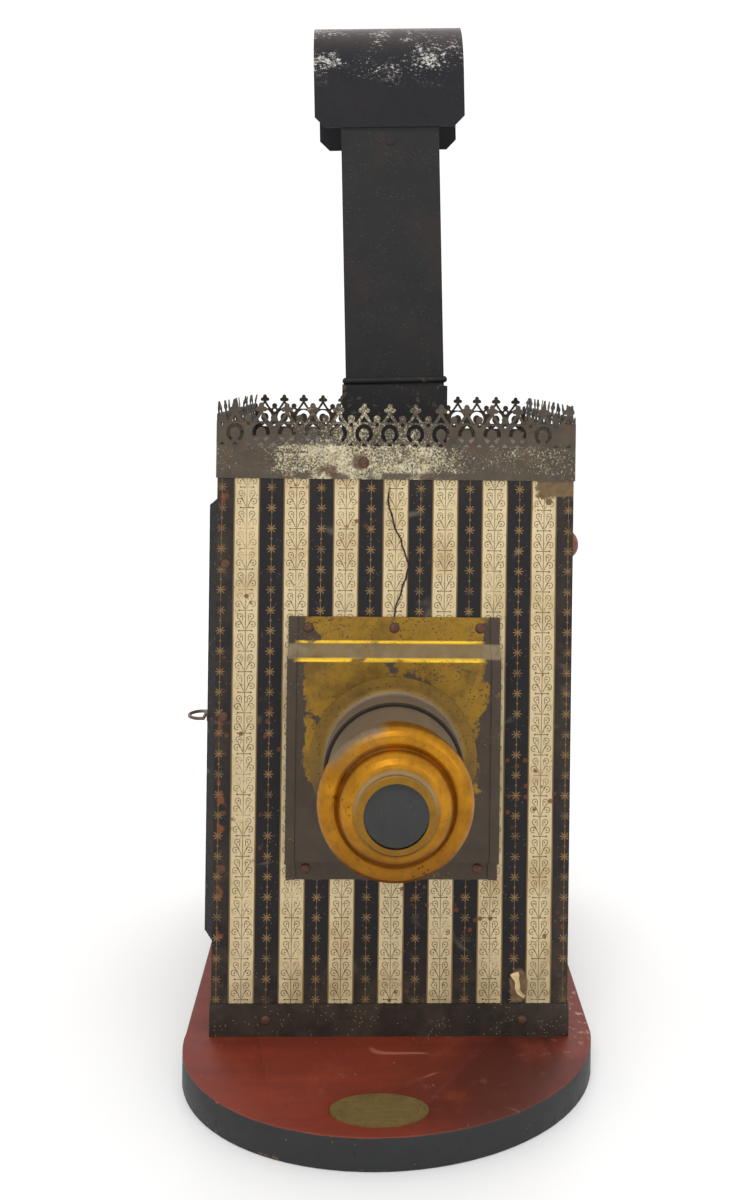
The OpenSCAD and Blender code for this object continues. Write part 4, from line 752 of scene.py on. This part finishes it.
class LANTERN_OT_sheet_metal(bpy.types.Operator):
    """Finish the tin body, its bands, the door, the vent and the chimney"""
    bl_idname = "lantern.sheet_metal"
    bl_label = "Sheet metal"

    def execute(self, context):
        colours = context.scene.lantern_colours
        cowl_low, cowl_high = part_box("chimney_cowl")
        socket_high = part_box("chimney_socket")[1].z * 1000
        japan = black_japan("black_japan", colours, cowl_low.z * 1000, cowl_high.z * 1000, socket_high)
        dress(japan, "chimney_duct", "chimney_cowl", "cowl_rivets", "chimney_socket", "duct_stay", "door_pan")
        inside = plain_metal("sooty_tin", rgb(98, 90, 78), rgb(44, 40, 36), 14, 0.25, 0.45, 0.6)
        dress(inside, "front_panel", "back_panel", "right_panel", "left_panel", "roof_plate", "floor_pan",
              "lamp_seat", "condenser_cell")
        dress(plain_metal("foot_band_tin", rgb(70, 62, 53), rgb(46, 40, 34), 10, 0.12, 0.5, 0.5, 0.6,
                          brushed=(0.08, 0.08, 1)), "foot_band")
        dress(plain_metal("vent_rust", rgb(150, 96, 66), rgb(96, 52, 34), 4, 0.6, 0.25, 0.6), "side_vent_cap")
        dress(plain_metal("hinge_tin", rgb(100, 92, 80), rgb(58, 52, 46), 6, 0.35, 0.5, 0.5),
              "door_hinge_leaves", "wall_hinge_leaves")
        dress(plain_metal("worn_steel", rgb(132, 120, 104), rgb(82, 72, 60), 5, 0.3, 0.7, 0.42),
              "hinge_pins", "latch_washer", "door_latch", "floor_screws", "condenser_ring")
        return {"FINISHED"}


class LANTERN_OT_optics(bpy.types.Operator):
    """Finish the slide stage, the collar, the draw tube, the bell and the lenses"""
    bl_idname = "lantern.optics"
    bl_label = "Stage and lens"

    def execute(self, context):
        colours = context.scene.lantern_colours
        axis = middle("draw_tube").z * 1000
        dress(stage_brass("worn_lacquer", colours, axis + 45.5, axis - 45.5, axis), "slide_stage")
        collar_low, collar_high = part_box("lens_collar")
        material = tube_brass("tube_brass", axis, collar_high.y * 1000 - 0.7, collar_low.y * 1000)
        dress(material, "lens_collar", "draw_tube", "rear_lens_ring")
        bell_low, bell_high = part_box("lens_bell")
        dress(bell_lacquer("bell_lacquer", colours, axis, bell_high.y * 1000), "lens_bell", "front_lens_ring")
        dress(old_glass("front_glass", rgb(120, 126, 116), 0.8), "front_lens")
        dress(old_glass("inner_glass", rgb(214, 222, 210), 0.3), "rear_lens", "condenser_lens")
        return {"FINISHED"}


class LANTERN_OT_board(bpy.types.Operator):
    """Round the edges of the painted board and finish its bare oval plate"""
    bl_idname = "lantern.board"
    bl_label = "Board and plate"

    def execute(self, context):
        colours = context.scene.lantern_colours
        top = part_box("base_board")[1].z * 1000
        paint = board_paint("board_paint", colours, top)
        piece("painted_board", merged_copy("base_board", 0.8 * MM), paint, "lamphouse",
              ["base_board"], 30)
        f = Finish("plate_brass")
        tone = f.mixed(f.cloud(6, 5.0, 0.65), rgb(110, 92, 54), rgb(160, 138, 86))
        tone = f.mixed(f.specks(1.3, 0.2, 0.5) * 0.7, tone, rgb(60, 46, 30))
        tone = f.mixed(f.cloud(1.5, 3.0, stretch=(0.15, 1, 1)).rise(0.5, 0.75) * 0.3, tone, rgb(178, 154, 98))
        material = f.done(tone, 0.42 + f.cloud(3, 4.0, 0.7) * 0.25, 0.7, f.cloud(1.4, 3.0) + f.cloud(10) * 2, 0.08)
        dress(material, "oval_plate", "plate_pins")
        return {"FINISHED"}


class LANTERN_OT_lamp(bpy.types.Operator):
    """Finish the oil lamp, its reflector and its glass"""
    bl_idname = "lantern.lamp"
    bl_label = "Oil lamp"

    def execute(self, context):
        dress(plain_metal("lamp_tin", rgb(168, 162, 148), rgb(104, 98, 88), 12, 0.2, 0.8, 0.38),
              "oil_font", "reflector_bracket")
        dress(plain_metal("lamp_brass", rgb(196, 154, 76), rgb(118, 86, 44), 7, 0.15, 0.9, 0.36,
                          rust_tint=rgb(70, 92, 70)), "filler_cap", "burner", "wick_shaft")
        f = Finish("charred_wick")
        char = f.z.rise(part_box("wick")[1].z - 0.006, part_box("wick")[1].z - 0.002)
        weave = (f.z * 1000).math("PINGPONG", 0.55).rise(0.0, 0.5) * (f.x * 1000).math("PINGPONG", 0.6).rise(0.0, 0.5)
        tone = f.mixed(weave * 0.6 + f.cloud(3) * 0.3, rgb(150, 138, 112), rgb(214, 206, 184))
        tone = f.mixed(char, tone, rgb(24, 20, 18))
        dress(f.done(tone, 0.85 + weave * 0.1, 0.0, weave, 0.2), "wick")
        dress(old_glass("chimney_glass", rgb(236, 240, 238), 0.25, 0.02), "lamp_glass")
        f = Finish("silvered_tin")
        haze = f.cloud(9, 5.0, 0.65).rise(0.4, 0.75)
        tone = f.mixed(haze, rgb(222, 220, 212), rgb(168, 158, 138))
        dress(f.done(tone, 0.12 + haze * 0.3, 0.95, f.cloud(16, 2.0) * 1.5, 0.08), "reflector")
        return {"FINISHED"}


class LANTERN_OT_stage(bpy.types.Operator):
    """Lay the pale floor, hang the soft lights and set the level camera"""
    bl_idname = "lantern.stage"
    bl_label = "Floor, lights and camera"

    def execute(self, context):
        settings = context.scene.lantern_stage
        scene = context.scene
        scene.view_settings.view_transform = "Standard"
        world = bpy.data.worlds.new("studio")
        world.use_nodes = True
        world.node_tree.nodes["Background"].inputs["Color"].default_value = (1.0, 1.0, 1.0, 1.0)
        world.node_tree.nodes["Background"].inputs["Strength"].default_value = 1.07
        scene.world = world

        bm = bmesh.new()
        bmesh.ops.create_grid(bm, x_segments=2, y_segments=2, size=settings.floor,
                              matrix=Matrix.Translation((0, 0, -0.0002)))
        mesh = bpy.data.meshes.new("floor")
        bm.to_mesh(mesh)
        bm.free()
        floor = bpy.data.objects.new("floor", mesh)
        scene.collection.objects.link(floor)
        f = Finish("pale_floor")
        mesh.materials.append(f.done(f.mixed(f.cloud(300, 2.0), (0.94, 0.94, 0.94), (0.96, 0.96, 0.96)), 0.7))

        def light(name, place, target, size, power, tone=(1, 1, 1)):
            data = bpy.data.lights.new(name, "AREA")
            data.shape = "RECTANGLE"
            data.size, data.size_y = size
            data.energy = power
            data.color = tone
            obj = bpy.data.objects.new(name, data)
            scene.collection.objects.link(obj)
            obj.location = place
            obj.rotation_euler = (Vector(target) - Vector(place)).to_track_quat("-Z", "Y").to_euler()

        light("key", (-0.35, -1.25, 1.35), (0, 0, 0.2), (0.6, 0.35), settings.key)
        light("fill", (0.9, -1.1, 0.7), (0, 0, 0.2), (0.7, 0.9), settings.key * 0.3)
        light("rim", (0.2, 1.0, 1.2), (0, 0, 0.3), (1.0, 0.6), settings.key * 0.5)

        data = bpy.data.cameras.new("camera")
        data.lens = settings.lens
        data.sensor_width = 36.0
        data.shift_x, data.shift_y = -0.0214, -0.191
        data.clip_start = 0.02
        camera = bpy.data.objects.new("camera", data)
        camera.location = (-settings.aside, -settings.distance, settings.height)
        turn = math.atan2(settings.aside, settings.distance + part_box("front_panel")[0].y)
        camera.rotation_euler = (math.pi / 2, settings.roll, -turn)
        scene.collection.objects.link(camera)
        scene.camera = camera
        return {"FINISHED"}


class LANTERN_PT_panel(bpy.types.Panel):
    """Lists the steps in the order of making"""
    bl_label = "Lantern"
    bl_idname = "LANTERN_PT_panel"
    bl_space_type = "VIEW_3D"
    bl_region_type = "UI"
    bl_category = "Lantern"

    def draw(self, context):
        column = self.layout.column(align=True)
        for step in STEPS:
            column.operator("lantern." + step)
        for group in ("lantern_sizes", "lantern_colours", "lantern_stage"):
            settings = getattr(context.scene, group)
            for key in settings.bl_rna.properties.keys():
                if key not in ("name", "rna_type"):
                    self.layout.prop(settings, key)


STEPS = ("cresting", "paper", "sheet_metal", "optics", "board", "lamp", "stage")
CLASSES = (LanternSizes, LanternColours, StageSettings, LANTERN_OT_cresting, LANTERN_OT_paper,
           LANTERN_OT_sheet_metal, LANTERN_OT_optics, LANTERN_OT_board, LANTERN_OT_lamp, LANTERN_OT_stage,
           LANTERN_PT_panel)


def register():
    for cls in CLASSES:
        bpy.utils.register_class(cls)
    bpy.types.Scene.lantern_sizes = bpy.props.PointerProperty(type=LanternSizes)
    bpy.types.Scene.lantern_colours = bpy.props.PointerProperty(type=LanternColours)
    bpy.types.Scene.lantern_stage = bpy.props.PointerProperty(type=StageSettings)


def unregister():
    for group in ("lantern_sizes", "lantern_colours", "lantern_stage"):
        delattr(bpy.types.Scene, group)
    for cls in reversed(CLASSES):
        bpy.utils.unregister_class(cls)


def main():
    register()
    for step in STEPS:
        getattr(bpy.ops.lantern, step)()


if __name__ == "__main__":
    main()
